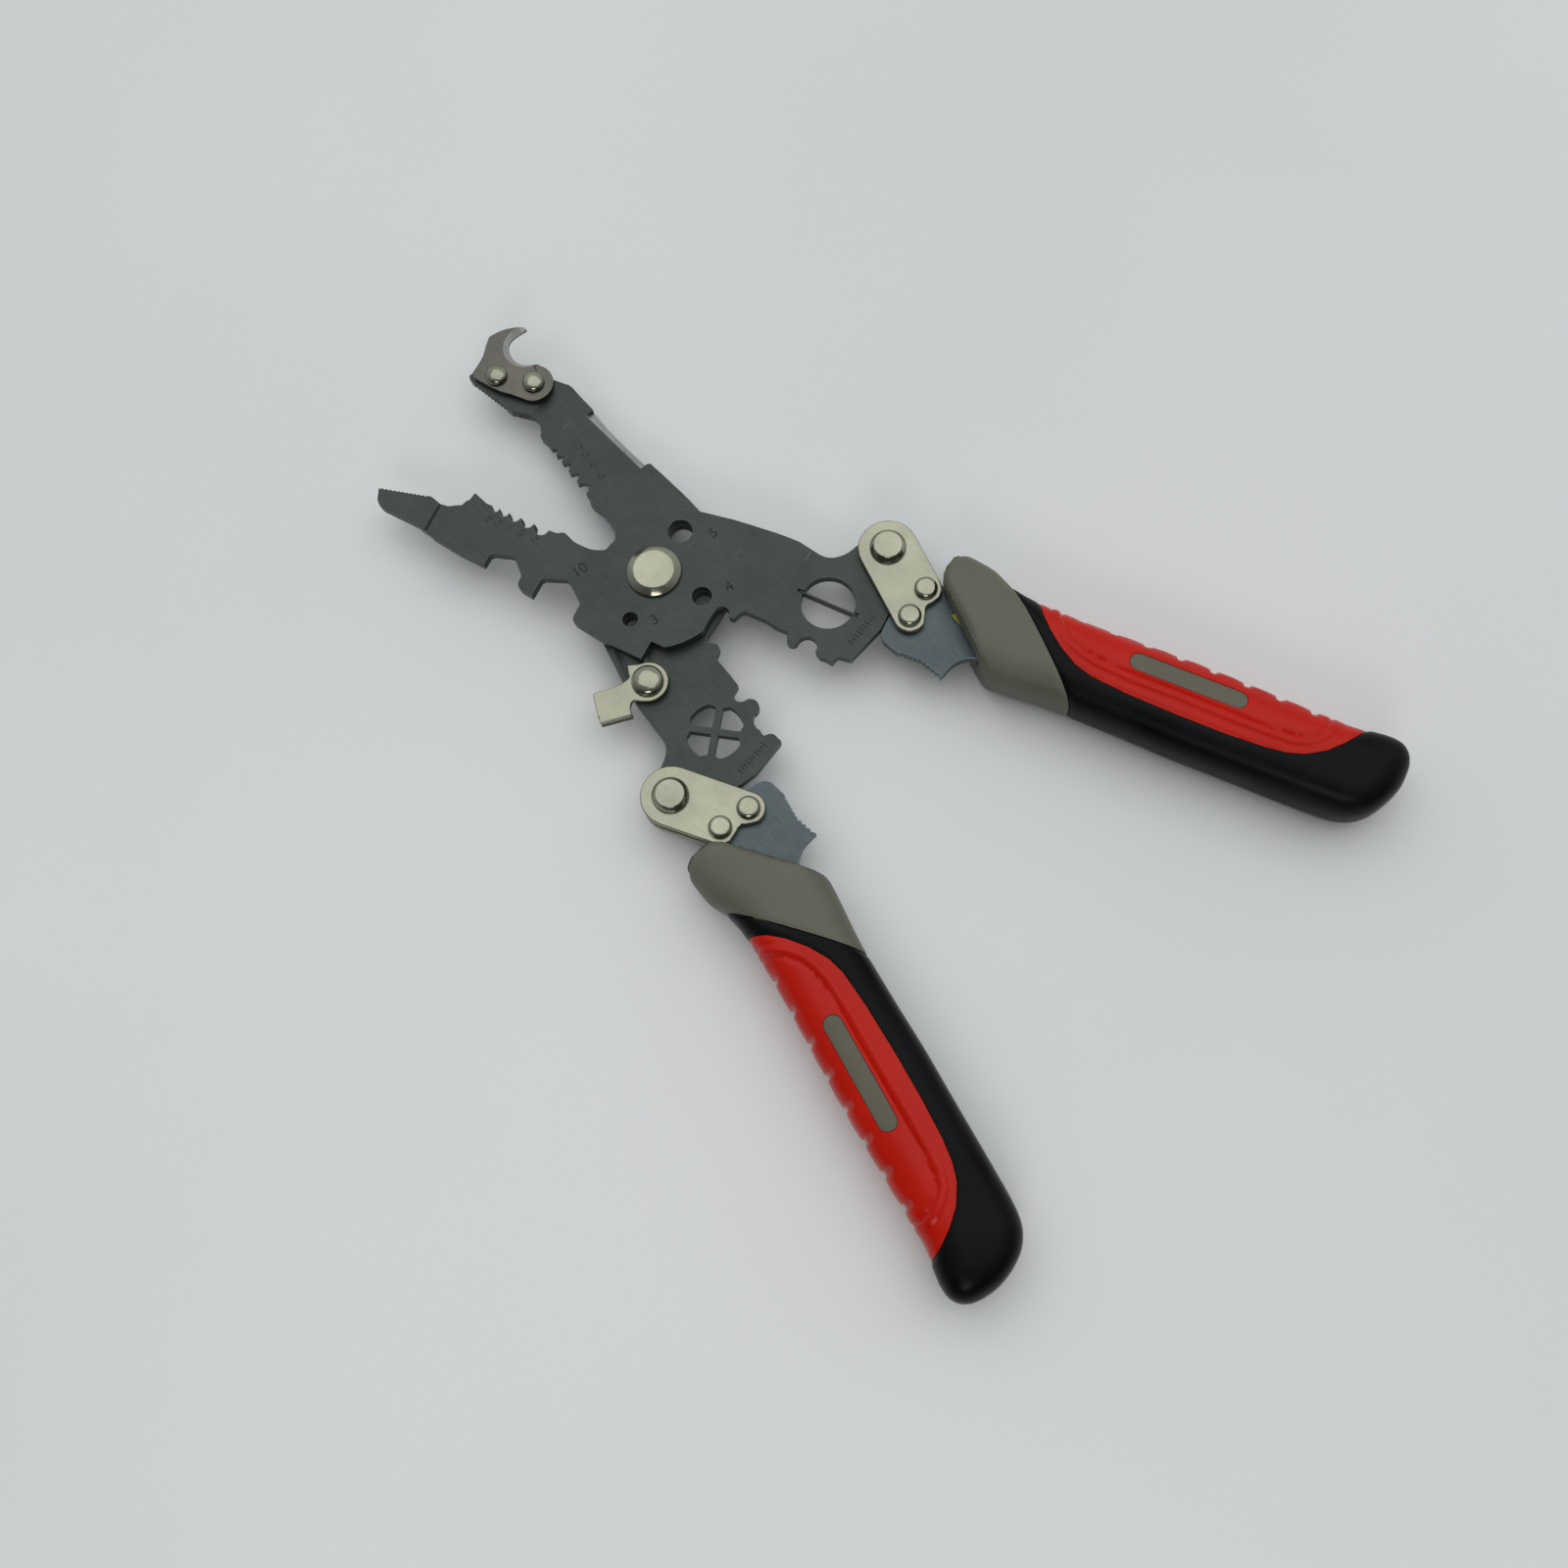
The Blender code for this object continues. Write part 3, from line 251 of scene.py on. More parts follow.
class StripperSizes(PropertyGroup):
    """Sizes that a user would change."""

    plate_edge: FloatProperty(
        name="Plate edge", description="Rounding of the jaw and tang edges",
        default=0.00012, unit="LENGTH")
    link_edge: FloatProperty(
        name="Link edge", description="Rounding of the pressed links and lever",
        default=0.00032, unit="LENGTH")
    lathe_steps: IntProperty(
        name="Lathe steps", description="Sides of a turned rivet",
        default=64, min=12)
    rivet_edge: FloatProperty(
        name="Rivet edge", description="Rounding of a rivet's corners",
        default=0.00022, unit="LENGTH")
    bead_height: FloatProperty(
        name="Bead height", description="Rise of the bead along the red panel",
        default=0.0004, unit="LENGTH")
    groove_depth: FloatProperty(
        name="Groove depth", description="Depth of the groove beside the bead",
        default=0.00042, unit="LENGTH")
    rib_depth: FloatProperty(
        name="Rib depth", description="Depth of the notches between the ribs",
        default=0.0005, unit="LENGTH")
    seam_depth: FloatProperty(
        name="Seam depth", description="How far the grip rolls into its seams",
        default=0.00026, unit="LENGTH")
    mouth_round: FloatProperty(
        name="Mouth rounding", description="Rounding of the collar's mouth",
        default=0.0017, unit="LENGTH")


def colour_property(name, description, default):
    return FloatVectorProperty(
        name=name, description=description, default=default, size=3, subtype="COLOR", min=0.0, max=1.0)


class StripperColours(PropertyGroup):
    """Base colours of the finishes."""

    jaw_steel: colour_property("Jaw steel", "Black oxide on the jaw plates", (0.049, 0.058, 0.054))
    tang_steel: colour_property("Tang steel", "Blued steel of the handle tangs", (0.078, 0.098, 0.106))
    ground_steel: colour_property("Ground steel", "Steel laid bare by grinding", (0.42, 0.42, 0.4))
    nickel: colour_property("Nickel", "Warm nickel plate", (0.33, 0.33, 0.255))
    stainless: colour_property("Stainless", "Stainless hook blade", (0.12, 0.114, 0.1))
    taupe: colour_property("Taupe rubber", "Collars", (0.105, 0.106, 0.078))
    pad: colour_property("Pad rubber", "Pads in the panels", (0.105, 0.096, 0.068))
    black: colour_property("Black rubber", "Grip bodies", (0.002, 0.003, 0.0035))
    red: colour_property("Red plastic", "Grip panels", (0.46, 0.0082, 0.0014))
    yellow: colour_property("Yellow plastic", "Inner cores", (0.3, 0.28, 0.02))
    floor: colour_property("Floor", "Pale studio floor", (0.7, 0.715, 0.72))


def sizes():
    return bpy.context.scene.stripper_sizes


def colours():
    return bpy.context.scene.stripper_colours


# ---------------------------------------------------------------- places

def half_place(letter):
    """From a half's drawing to the frame: scaled, flipped for half B, turned and moved to the pivot."""
    side = 1 if letter == "a" else -1
    reach = Vector(JOINTS[f"handle_{letter}_fold"]["pos_m"]) - PIVOT
    turn = math.atan2(side * reach.y, reach.x) - math.atan2(FOLD_POINT.y, FOLD_POINT.x)
    flip = Matrix.Identity(4) if letter == "a" else Matrix.Rotation(math.pi, 4, "X")
    return Matrix.Translation(PIVOT) @ Matrix.Rotation(side * turn, 4, "Z") @ flip @ Matrix.Scale(MM, 4)


def handle_place(letter):
    """As half_place, with the handle turned about its fold rivet from straight to its place at rest."""
    fold = -math.radians(JOINTS[f"handle_{letter}_fold"]["range_deg"][0])
    centre = Matrix.Translation((*FOLD_POINT, 0))
    return half_place(letter) @ centre @ Matrix.Rotation(fold, 4, "Z") @ centre.inverted()


# ---------------------------------------------------------------- meshes

def to_object(work, name):
    """Ends a bmesh as an object in the scene, without the CAD's own custom normals."""
    mesh = bpy.data.meshes.new(name)
    work.to_mesh(mesh)
    work.free()
    if "custom_normal" in mesh.attributes:
        mesh.attributes.remove(mesh.attributes["custom_normal"])
    made = bpy.data.objects.new(name, mesh)
    bpy.context.scene.collection.objects.link(made)
    return made


def copied(node, place):
    """A welded copy of a CAD node in its drawing's millimetres, with its flat faces whole again."""
    work = bmesh.new()
    work.from_mesh(frame["nodes"][node].data)
    work.transform(place.inverted())
    bmesh.ops.remove_doubles(work, verts=work.verts, dist=WELD)
    bmesh.ops.dissolve_limit(work, angle_limit=FLAT, verts=[], edges=work.edges)
    for face in work.faces:
        face.material_index = 0
    work.normal_update()
    return work


def prism(outline, low, high):
    """A closed solid between two heights over an outline."""
    work = bmesh.new()
    loop = [work.verts.new((x, y, low)) for x, y in outline]
    face = bmesh.ops.contextual_create(work, geom=loop)["faces"]
    raised = bmesh.ops.extrude_face_region(work, geom=face)["geom"]
    bmesh.ops.translate(work, verts=[v for v in raised if isinstance(v, bmesh.types.BMVert)],
                        vec=(0, 0, high - low))
    bmesh.ops.recalc_face_normals(work, faces=work.faces)
    return to_object(work, "cutter")


def block(middle, size, turn=0.0):
    """A box cutter, turned about Z."""
    work = bmesh.new()
    bmesh.ops.create_cube(work, size=1.0)
    work.transform(Matrix.Translation(middle) @ Matrix.Rotation(turn, 4, "Z") @ Matrix.Diagonal((*size, 1)))
    return to_object(work, "cutter")


def cut(piece, tool, operation="DIFFERENCE"):
    """Cuts the piece with the tool for good, and removes the tool."""
    boolean = piece.modifiers.new("cut", "BOOLEAN")
    boolean.operation = operation
    boolean.solver = "EXACT"
    boolean.object = tool
    bpy.context.view_layer.update()
    mesh = bpy.data.meshes.new_from_object(piece.evaluated_get(bpy.context.evaluated_depsgraph_get()))
    if not mesh.polygons:
        raise RuntimeError(f"Nothing is left of {piece.name} after a cut")
    piece.modifiers.clear()
    piece.data = mesh
    mesh.name = piece.name
    bpy.data.objects.remove(tool, do_unlink=True)
    return piece


def rounded_profile(profile, radius, steps=4):
    """A turned profile whose corners are rounded, as far as their neighbours leave room."""
    points = [Vector(point) for point in profile]
    curve = [points[0]]
    for before, corner, after in zip(points, points[1:], points[2:]):
        back, ahead = before - corner, after - corner
        reach = min(radius, back.length * 0.45, ahead.length * 0.45)
        start, end = corner + back.normalized() * reach, corner + ahead.normalized() * reach
        for step in range(steps + 1):
            t = step / steps
            curve.append(start * (1 - t) ** 2 + corner * 2 * t * (1 - t) + end * t ** 2)
    return [*curve, points[-1]]


def turned(name, profile):
    """A solid of revolution about Z from a profile that starts and ends on the axis."""
    work = bmesh.new()
    corners = rounded_profile(profile, sizes().rivet_edge / MM)
    verts = [work.verts.new((r, 0, z)) for r, z in corners]
    edges = [work.edges.new(pair) for pair in zip(verts, verts[1:])]
    bmesh.ops.spin(
        work, geom=[*verts, *edges], cent=(0, 0, 0), axis=(0, 0, 1), dvec=(0, 0, 0),
        angle=2 * math.pi, steps=sizes().lathe_steps, use_merge=True, use_duplicate=False)
    bmesh.ops.remove_doubles(work, verts=work.verts, dist=WELD)
    bmesh.ops.recalc_face_normals(work, faces=work.faces)
    return to_object(work, name)


def flat_rivet(name, head_r, flat_r, seat, top, shank_r):
    """A rivet with the same flat-topped head at both ends."""
    rim = seat + FLAT_RIM_SHARE * (top - seat)
    upper = [(0, top), (flat_r, top), (head_r, rim), (head_r, seat), (shank_r, seat)]
    lower = [(r, -z) for r, z in reversed(upper)]
    return turned(name, [*upper, *lower])


def dome_points(head_r, seat, height, flat_r=0.0):
    """The upper side of a domed head, down to its seat."""
    arc = []
    rim = seat + DOME_RIM
    for i in range(DOME_STEPS + 1):
        angle = math.radians(90 * i / DOME_STEPS)
        arc.append((flat_r + (head_r - flat_r) * math.sin(angle), rim + height * math.cos(angle)))
    return [(0, rim + height), *arc[(0 if flat_r else 1):], (head_r, seat)]


def button_rivet(name, head_r, flat_r, seat, height, shank_r):
    """A rivet with the same domed head at both ends, each with a small flat."""
    upper = [*dome_points(head_r, seat, height, flat_r), (shank_r, seat)]
    lower = [(r, -z) for r, z in reversed(upper)]
    return turned(name, [*upper, *lower])


def dome_rivet(name, head_r, seat, height, tail, shank_r):
    """A rivet with a dome above its seat and a low head below its tail, on the -Z side of a half."""
    upper = [*dome_points(head_r, seat, height), (shank_r, seat)]
    foot_r, flat_r = head_r * FOOT_SHARE, head_r * FOOT_FLAT_SHARE
    rim, end = tail - FOOT_RIM, tail - FOOT_HEIGHT
    foot = [(shank_r, tail), (foot_r, tail), (foot_r, rim), (flat_r, end), (0, end)]
    rivet = turned(name, [*upper, *foot])
    rivet.data.transform(Matrix.Rotation(math.pi, 4, "X"))
    return rivet


def soften(piece, width, segments=2, worn=None, angle=28):
    """Rounds the sharp edges, and gives the rounding the material in slot worn."""
    edge = piece.modifiers.new("edge", "BEVEL")
    edge.width = width
    edge.segments = segments
    edge.limit_method = "ANGLE"
    edge.angle_limit = math.radians(angle)
    edge.use_clamp_overlap = False
    edge.harden_normals = True
    if worn is not None:
        edge.material = worn
    return piece


def finished(piece, place, body, materials, node=None, sharp=None):
    """Puts a drawn piece in its place, dresses it and ties it to its body."""
    piece.data.transform(place)
    for material in materials:
        piece.data.materials.append(material)
    piece.data.shade_smooth()
    if sharp is not None:
        piece.data.set_sharp_from_angle(angle=math.radians(sharp))
    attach(piece, body)
    if node:
        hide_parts(node)
    return piece


# ---------------------------------------------------------------- finishes

def new_material(name, colour, metallic, roughness):
    material = bpy.data.materials.new(name)
    material.use_nodes = True
    shader = material.node_tree.nodes["Principled BSDF"]
    shader.inputs["Base Color"].default_value = (*colour, 1.0)
    shader.inputs["Metallic"].default_value = metallic
    shader.inputs["Roughness"].default_value = roughness
    return material, shader


def object_pattern(tree, scale, stretch=(1, 1, 1), turn=0.0, detail=4.0):
    """A noise on Object coordinates, stretched along a turned X for a brushed look."""
    coordinates = tree.nodes.new("ShaderNodeTexCoord")
    mapping = tree.nodes.new("ShaderNodeMapping")
    mapping.inputs["Rotation"].default_value = (0, 0, turn)
    mapping.inputs["Scale"].default_value = stretch
    noise = tree.nodes.new("ShaderNodeTexNoise")
    noise.inputs["Scale"].default_value = scale
    noise.inputs["Detail"].default_value = detail
    tree.links.new(coordinates.outputs["Object"], mapping.inputs["Vector"])
    tree.links.new(mapping.outputs["Vector"], noise.inputs["Vector"])
    return noise.outputs["Fac"]


def ramp(tree, factor, stops):
    node = tree.nodes.new("ShaderNodeValToRGB")
    elements = node.color_ramp.elements
    while len(elements) < len(stops):
        elements.new(0.5)
    for element, (position, colour) in zip(elements, stops):
        element.position = position
        element.color = (*colour, 1.0)
    tree.links.new(factor, node.inputs["Fac"])
    return node.outputs["Color"]


def mix(tree, factor, first, second, blend="MIX"):
    """Mixes two colours. Sockets 0, 6 and 7 are the Mix node's factor and its two colours."""
    node = tree.nodes.new("ShaderNodeMix")
    node.data_type = "RGBA"
    node.blend_type = blend
    for socket, value in ((0, factor), (6, first), (7, second)):
        if hasattr(value, "links"):
            tree.links.new(value, node.inputs[socket])
        else:
            node.inputs[socket].default_value = value
    return node.outputs[2]


def spread(tree, factor, low, high):
    """Maps a pattern from its usual 0.3 to 0.7 onto a range of roughness."""
    node = tree.nodes.new("ShaderNodeMapRange")
    node.inputs["From Min"].default_value = 0.3
    node.inputs["From Max"].default_value = 0.7
    node.inputs["To Min"].default_value = low
    node.inputs["To Max"].default_value = high
    tree.links.new(factor, node.inputs["Value"])
    return node.outputs["Result"]


def bump(tree, shader, height, strength, distance):
    node = tree.nodes.new("ShaderNodeBump")
    node.inputs["Strength"].default_value = strength
    node.inputs["Distance"].default_value = distance
    tree.links.new(height, node.inputs["Height"])
    tree.links.new(node.outputs["Normal"], shader.inputs["Normal"])


def shade(colour, factor):
    return tuple(min(1.0, value * factor) for value in colour)


def brushed_metal(name, colour, roughness, turn, contrast, grain=(1, 14, 1), metallic=1.0):
    """Metal with a grain along an X turned by some degrees, soft blotches and sparse fine scratches."""
    turn = math.radians(turn)
    material, shader = new_material(name, colour, metallic, roughness)
    tree = material.node_tree
    lines = object_pattern(tree, scale=420, stretch=grain, turn=turn, detail=6.0)
    blotches = object_pattern(tree, scale=90)
    base = ramp(tree, lines, [(0.3, shade(colour, 1 - contrast)), (0.7, shade(colour, 1 + contrast))])
    tone = ramp(tree, blotches, [(0.35, (0.78, 0.79, 0.8)), (0.65, (1.05, 1.05, 1.04))])
    scratches = object_pattern(tree, scale=900, stretch=(1, 0.12, 1), turn=turn + 0.5, detail=2.0)
    worn = ramp(tree, scratches, [(0.72, (0, 0, 0)), (0.8, (0.3, 0.3, 0.3))])
    toned = mix(tree, 1.0, base, tone, "MULTIPLY")
    tree.links.new(mix(tree, worn, toned, (*shade(colour, 2.6), 1.0)), shader.inputs["Base Color"])
    tree.links.new(spread(tree, blotches, roughness - 0.06, roughness + 0.06), shader.inputs["Roughness"])
    bump(tree, shader, lines, strength=0.25, distance=0.00002)
    return material


def moulded(name, colour, roughness, grain_scale, grain_strength, contrast=0.06, gloss=0.5):
    """Rubber or plastic with a fine moulded grain and faint handling marks."""
    material, shader = new_material(name, colour, 0.0, roughness)
    tree = material.node_tree
    marks = object_pattern(tree, scale=70)
    grain = object_pattern(tree, scale=grain_scale, detail=2.0)
    base = ramp(tree, marks, [(0.35, shade(colour, 1 - contrast)), (0.65, shade(colour, 1 + contrast))])
    tree.links.new(base, shader.inputs["Base Color"])
    tree.links.new(spread(tree, marks, roughness - 0.05, roughness + 0.05), shader.inputs["Roughness"])
    bump(tree, shader, grain, strength=grain_strength, distance=0.00003)
    shader.inputs["Specular IOR Level"].default_value = gloss
    return material


def jaw_steel_finish():
    return brushed_metal(
        "jaw_steel_finish", colours().jaw_steel, roughness=0.42, turn=52, contrast=0.16, metallic=0.75)


def jaw_edge_finish():
    lighter = shade(colours().jaw_steel, 1.9)
    return brushed_metal("jaw_edge_finish", lighter, roughness=0.34, turn=0, contrast=0.2, metallic=0.85)


def tang_steel_finish():
    return brushed_metal(
        "tang_steel_finish", colours().tang_steel, roughness=0.36, turn=20, contrast=0.2, metallic=0.85)


def tang_edge_finish():
    lighter = shade(colours().tang_steel, 2.4)
    return brushed_metal("tang_edge_finish", lighter, roughness=0.3, turn=0, contrast=0.15, metallic=0.9)


def ground_steel_finish():
    return brushed_metal(
        "ground_steel_finish", colours().ground_steel, roughness=0.38, turn=-20, contrast=0.25)


def nickel_finish():
    return brushed_metal("nickel_finish", colours().nickel, roughness=0.3, turn=15, contrast=0.08)


def rivet_finish():
    nickel = shade(colours().nickel, 0.98)
    return brushed_metal("rivet_finish", nickel, roughness=0.15, turn=70, contrast=0.06, grain=(1, 6, 1))


def stainless_finish():
    return brushed_metal("stainless_finish", colours().stainless, roughness=0.34, turn=60, contrast=0.12)


def taupe_finish():
    return moulded(
        "taupe_rubber_finish", colours().taupe, roughness=0.5, grain_scale=2600, grain_strength=0.25,
        gloss=0.4)


def pad_finish():
    return moulded(
        "pad_rubber_finish", colours().pad, roughness=0.5, grain_scale=2600, grain_strength=0.2, gloss=0.35)


def black_finish():
    return moulded(
        "black_rubber_finish", colours().black, roughness=0.36, grain_scale=2200, grain_strength=0.35,
        contrast=0.5, gloss=0.09)


def red_finish():
    return moulded(
        "red_plastic_finish", colours().red, roughness=0.24, grain_scale=1500, grain_strength=0.05,
        contrast=0.05, gloss=0.16)


def yellow_finish():
    return moulded(
        "yellow_plastic_finish", colours().yellow, roughness=0.45, grain_scale=1800, grain_strength=0.15)


def mark_finish():
    darker = shade(colours().jaw_steel, 0.12)
    return moulded("mark_finish", darker, roughness=0.6, grain_scale=3000, grain_strength=0.1)


def floor_finish():
    """A pale board with faint cloudy tones."""
    material, shader = new_material("floor_finish", colours().floor, 0.0, 0.55)
    tree = material.node_tree
    clouds = object_pattern(tree, scale=3.0, detail=5.0)
    pale = colours().floor
    tree.links.new(ramp(tree, clouds, [(0.35, shade(pale, 0.95)), (0.65, shade(pale, 1.03))]),
                   shader.inputs["Base Color"])
    return material


# ---------------------------------------------------------------- plates

def ease_bend(work, pressed, eased, levels):
    """Spreads a pressed step on one face of a plate over a longer slope."""
    for line in eased:
        bmesh.ops.bisect_plane(
            work, geom=[*work.verts, *work.edges, *work.faces], dist=WELD, plane_co=(line, 0, 0),
            plane_no=(1, 0, 0))
    for vertex in work.verts:
        was = np.interp(vertex.co.x, pressed, levels)
        if eased[0] - WELD < vertex.co.x < eased[1] + WELD and abs(vertex.co.z - was) < NEAR:
            vertex.co.z = float(np.interp(vertex.co.x, eased, levels))
    bmesh.ops.dissolve_limit(work, angle_limit=FLAT, verts=[], edges=work.edges)
    work.normal_update()


def sharpen_notches(plate, letter):
    """Opens each stripping notch into a V, which leaves pointed teeth between them."""
    edge = STRIP_EDGE[letter]
    for x, radius in STRIP_NOTCHES:
        half, depth = NOTCH_EXTRA_HALF + NOTCH_HALF_PER_RADIUS * radius, NOTCH_EXTRA_DEPTH + radius
        wide, top = half * (depth + NOTCH_RISE) / depth, edge + NOTCH_RISE
        cut(plate, prism([(x - wide, top), (x + wide, top), (x, edge - depth)], -CUT_REACH, CUT_REACH))


def jaw_pieces():
    """Both jaw plates, with worn edges, and the flat ground along half B's spine."""
    steel, edge, ground = jaw_steel_finish(), jaw_edge_finish(), ground_steel_finish()
    for letter in "ab":
        place = half_place(letter)
        work = copied(f"jaw_plate_{letter}", place)
        for bend in BENDS[letter]:
            ease_bend(work, *bend)
        for face in work.faces:
            if abs(face.normal.y) > SLANTED and abs(face.normal.z) > SLANTED:
                face.material_index = 2
                for vertex in face.verts:
                    if vertex.co.z < -PLATE_TOP_B + NEAR:
                        vertex.co.y += SPINE_WIDEN
        plate = to_object(work, f"jaw_{letter}_steel")
        sharpen_notches(plate, letter)
        soften(plate, sizes().plate_edge, worn=1)
        finished(plate, place, f"half_{letter}", (steel, edge, ground), f"jaw_plate_{letter}")


def splitter_piece():
    """The thin strip across the round cable opening."""
    blade = to_object(copied("splitter_blade", half_place("a")), "splitter_strip")
    soften(blade, SPLITTER_EDGE)
    finished(blade, half_place("a"), "half_a", (jaw_steel_finish(),), "splitter_blade")


def spring_piece():
    """The coil round the pivot."""
    place = half_place("a")
    coil = to_object(copied("pivot_spring", place), "pivot_coil")
    finished(coil, place, "half_a", (stainless_finish(),), "pivot_spring", sharp=50)


def numeral(text, x, y, face, height, turn):
    """A numeral as a thin mesh on a face, turned by some degrees."""
    curve = bpy.data.curves.new("numeral", "FONT")
    curve.body = text
    curve.size = height
    curve.extrude = MARK_RISE
    curve.align_x = "CENTER"
    curve.align_y = "CENTER"
    shape = bpy.data.objects.new("numeral", curve)
    bpy.context.scene.collection.objects.link(shape)
    bpy.context.view_layer.update()
    mesh = bpy.data.meshes.new_from_object(shape.evaluated_get(bpy.context.evaluated_depsgraph_get()))
    bpy.data.objects.remove(shape, do_unlink=True)
    mesh.transform(Matrix.Translation((x, y, face)) @ Matrix.Rotation(math.radians(turn), 4, "Z"))
    work = bmesh.new()
    work.from_mesh(mesh)
    bmesh.ops.remove_doubles(work, verts=work.verts, dist=WELD)
    bpy.data.meshes.remove(mesh)
    return work


def tick_row(start, end, face, count):
    """A row of short strokes across the line from start to end."""
    work = bmesh.new()
    first, last = Vector(start), Vector(end)
    lean = math.atan2(last.y - first.y, last.x - first.x)
    for i in range(count):
        spot = first.lerp(last, i / (count - 1))
        stroke = bmesh.ops.create_cube(work, size=1.0)["verts"]
        size = (STROKE_WIDTH, STROKE_LENGTHS[i % len(STROKE_LENGTHS)], 2 * MARK_RISE, 1)
        place = Matrix.Translation((*spot, face)) @ Matrix.Rotation(lean, 4, "Z") @ Matrix.Diagonal(size)
        bmesh.ops.transform(work, verts=stroke, matrix=place)
    return work


def mark_pieces():
    """Numerals by the shears, notches and outer hook, and a row of strokes at each tang end."""
    finish = mark_finish()
    places = {"a": half_place("a"), "b": half_place("b") @ Matrix.Rotation(math.pi, 4, "X")}
    faces = {"a": PLATE_TOP_A, "b": PLATE_TOP_B}
    marks = [(*numeral_row, "a") for numeral_row in PLATE_NUMERALS]
    for size, x in WIRE_SIZES:
        for letter in "ab":
            name = f"mark_notch_{letter}_{size.replace('.', '_')}"
            marks.append((name, size, x, WIRE_SIZE_Y[letter], WIRE_SIZE_HEIGHT, WIRE_SIZE_TURN, letter))
    for name, text, x, y, height, turn, letter in marks:
        mark = to_object(numeral(text, x, y, faces[letter], height, turn), name)
        finished(mark, places[letter], f"half_{letter}", (finish,))
    for letter, (start, end, count) in STROKE_ROWS.items():
        row = to_object(tick_row(start, end, TANG_TOP, count), f"mark_row_{letter}")
        finished(row, places[letter], f"half_{letter}", (finish,), sharp=30)


# ---------------------------------------------------------------- pivot, hook and latch

def pivot_piece():
    """The main pivot, which holds both halves together."""
    rivet = flat_rivet("pivot_head", head_r=5.85, flat_r=4.25, seat=2.7, top=4.3, shank_r=PIVOT_SHANK_R)
    finished(rivet, half_place("a"), "half_a", (rivet_finish(),), "pivot_rivet", sharp=50)


def hook_pieces():
    """The hook blade, ground along its inner curve, and its two rivets."""
    place = half_place("b")
    low, high = HOOK_GRIND_HEIGHTS
    cone = bmesh.new()
    bmesh.ops.create_cone(
        cone, cap_ends=True, segments=96, radius1=HOOK_GRIND_RADII[0], radius2=HOOK_GRIND_RADII[1],
        depth=high - low)
    bmesh.ops.translate(cone, verts=cone.verts, vec=(*HOOK_GRIND_CENTRE, (low + high) / 2))
    blade = cut(to_object(copied("hook_blade", place), "hook_steel"), to_object(cone, "cutter"))
    low_slope, high_slope = HOOK_GROUND_SLOPES
    for face in blade.data.polygons:
        face.material_index = 1 if low_slope < abs(face.normal.z) < high_slope else 0
    soften(blade, HOOK_EDGE)
    finishes = (stainless_finish(), ground_steel_finish())
    finished(blade, place, "half_b", finishes, "hook_blade")
    for name, spot in HOOK_RIVETS.items():
        rivet = dome_rivet(
            f"hook_dome_{name}", head_r=2.4, seat=2.95, height=1.25, tail=-1.475, shank_r=SHANK_R)
        finished(rivet, place @ Matrix.Translation((*spot, 0)), "half_b", (rivet_finish(),),
                 f"hook_rivet_{name}", sharp=50)


def latch_pieces():
    """The lock lever, with a grooved lip, and its domed rivet."""
    place = half_place("b")
    lever = to_object(copied("latch_lever", place), "lock_lever")
    run = Vector(LIP_RUN)
    middle = Vector(LIP_POINT) + run / 2
    out = Vector((run.y, -run.x)).normalized()
    spot = middle + out * LIP_DEEP
    for height in LIP_GROOVES:
        groove = (run.length + LIP_SPARE, *LIP_GROOVE_SIZE)
        cut(lever, block((*spot, height), groove, math.atan2(run.y, run.x)))
    soften(lever, sizes().link_edge * LEVER_EDGE_SHARE, segments=3)
    finished(lever, place, "latch", (nickel_finish(),), "latch_lever")
    rivet = dome_rivet("latch_dome", head_r=3.4, seat=1.6, height=1.65, tail=-2.7, shank_r=SHANK_R)
    finished(rivet, place @ Matrix.Translation((*LATCH_POINT, 0)), "half_b",
             (rivet_finish(),), "latch_rivet", sharp=50)


# ---------------------------------------------------------------- links and tangs

def link_pieces():
    """Two pressed links and three rivets on each handle."""
    plate, head = nickel_finish(), rivet_finish()
    for letter in "ab":
        place, body = handle_place(letter), f"handle_{letter}"
        for level in ("top", "bottom"):
            node = f"link_{level}_{letter}"
            link = to_object(copied(node, place), f"link_plate_{level}_{letter}")
            soften(link, sizes().link_edge, segments=3)
            finished(link, place, body, (plate,), node)
        fold = flat_rivet(
            f"fold_head_{letter}", head_r=3.8, flat_r=2.95, seat=3.1, top=4.7, shank_r=SHANK_R)
        finished(fold, place @ Matrix.Translation((*FOLD_POINT, 0)), body, (head,),
                 f"fold_rivet_{letter}", sharp=50)
        for name, spot in LINK_RIVETS.items():
            rivet = button_rivet(
                f"link_head_{name}_{letter}", head_r=2.45, flat_r=1.35, seat=3.1, height=1.0,
                shank_r=LINK_SHANK_R)
            finished(rivet, place @ Matrix.Translation((*spot, 0)), body, (head,),
                     f"link_rivet_{name}_{letter}", sharp=50)


def tang_pieces():
    """The toothed steel tang of each handle."""
    steel, edge = tang_steel_finish(), tang_edge_finish()
    for letter in "ab":
        place = handle_place(letter)
        tang = to_object(copied(f"handle_tang_{letter}", place), f"tang_{letter}")
        soften(tang, sizes().plate_edge, worn=1)
        finished(tang, place, f"handle_{letter}", (steel, edge), f"handle_tang_{letter}")


# ---------------------------------------------------------------- grips

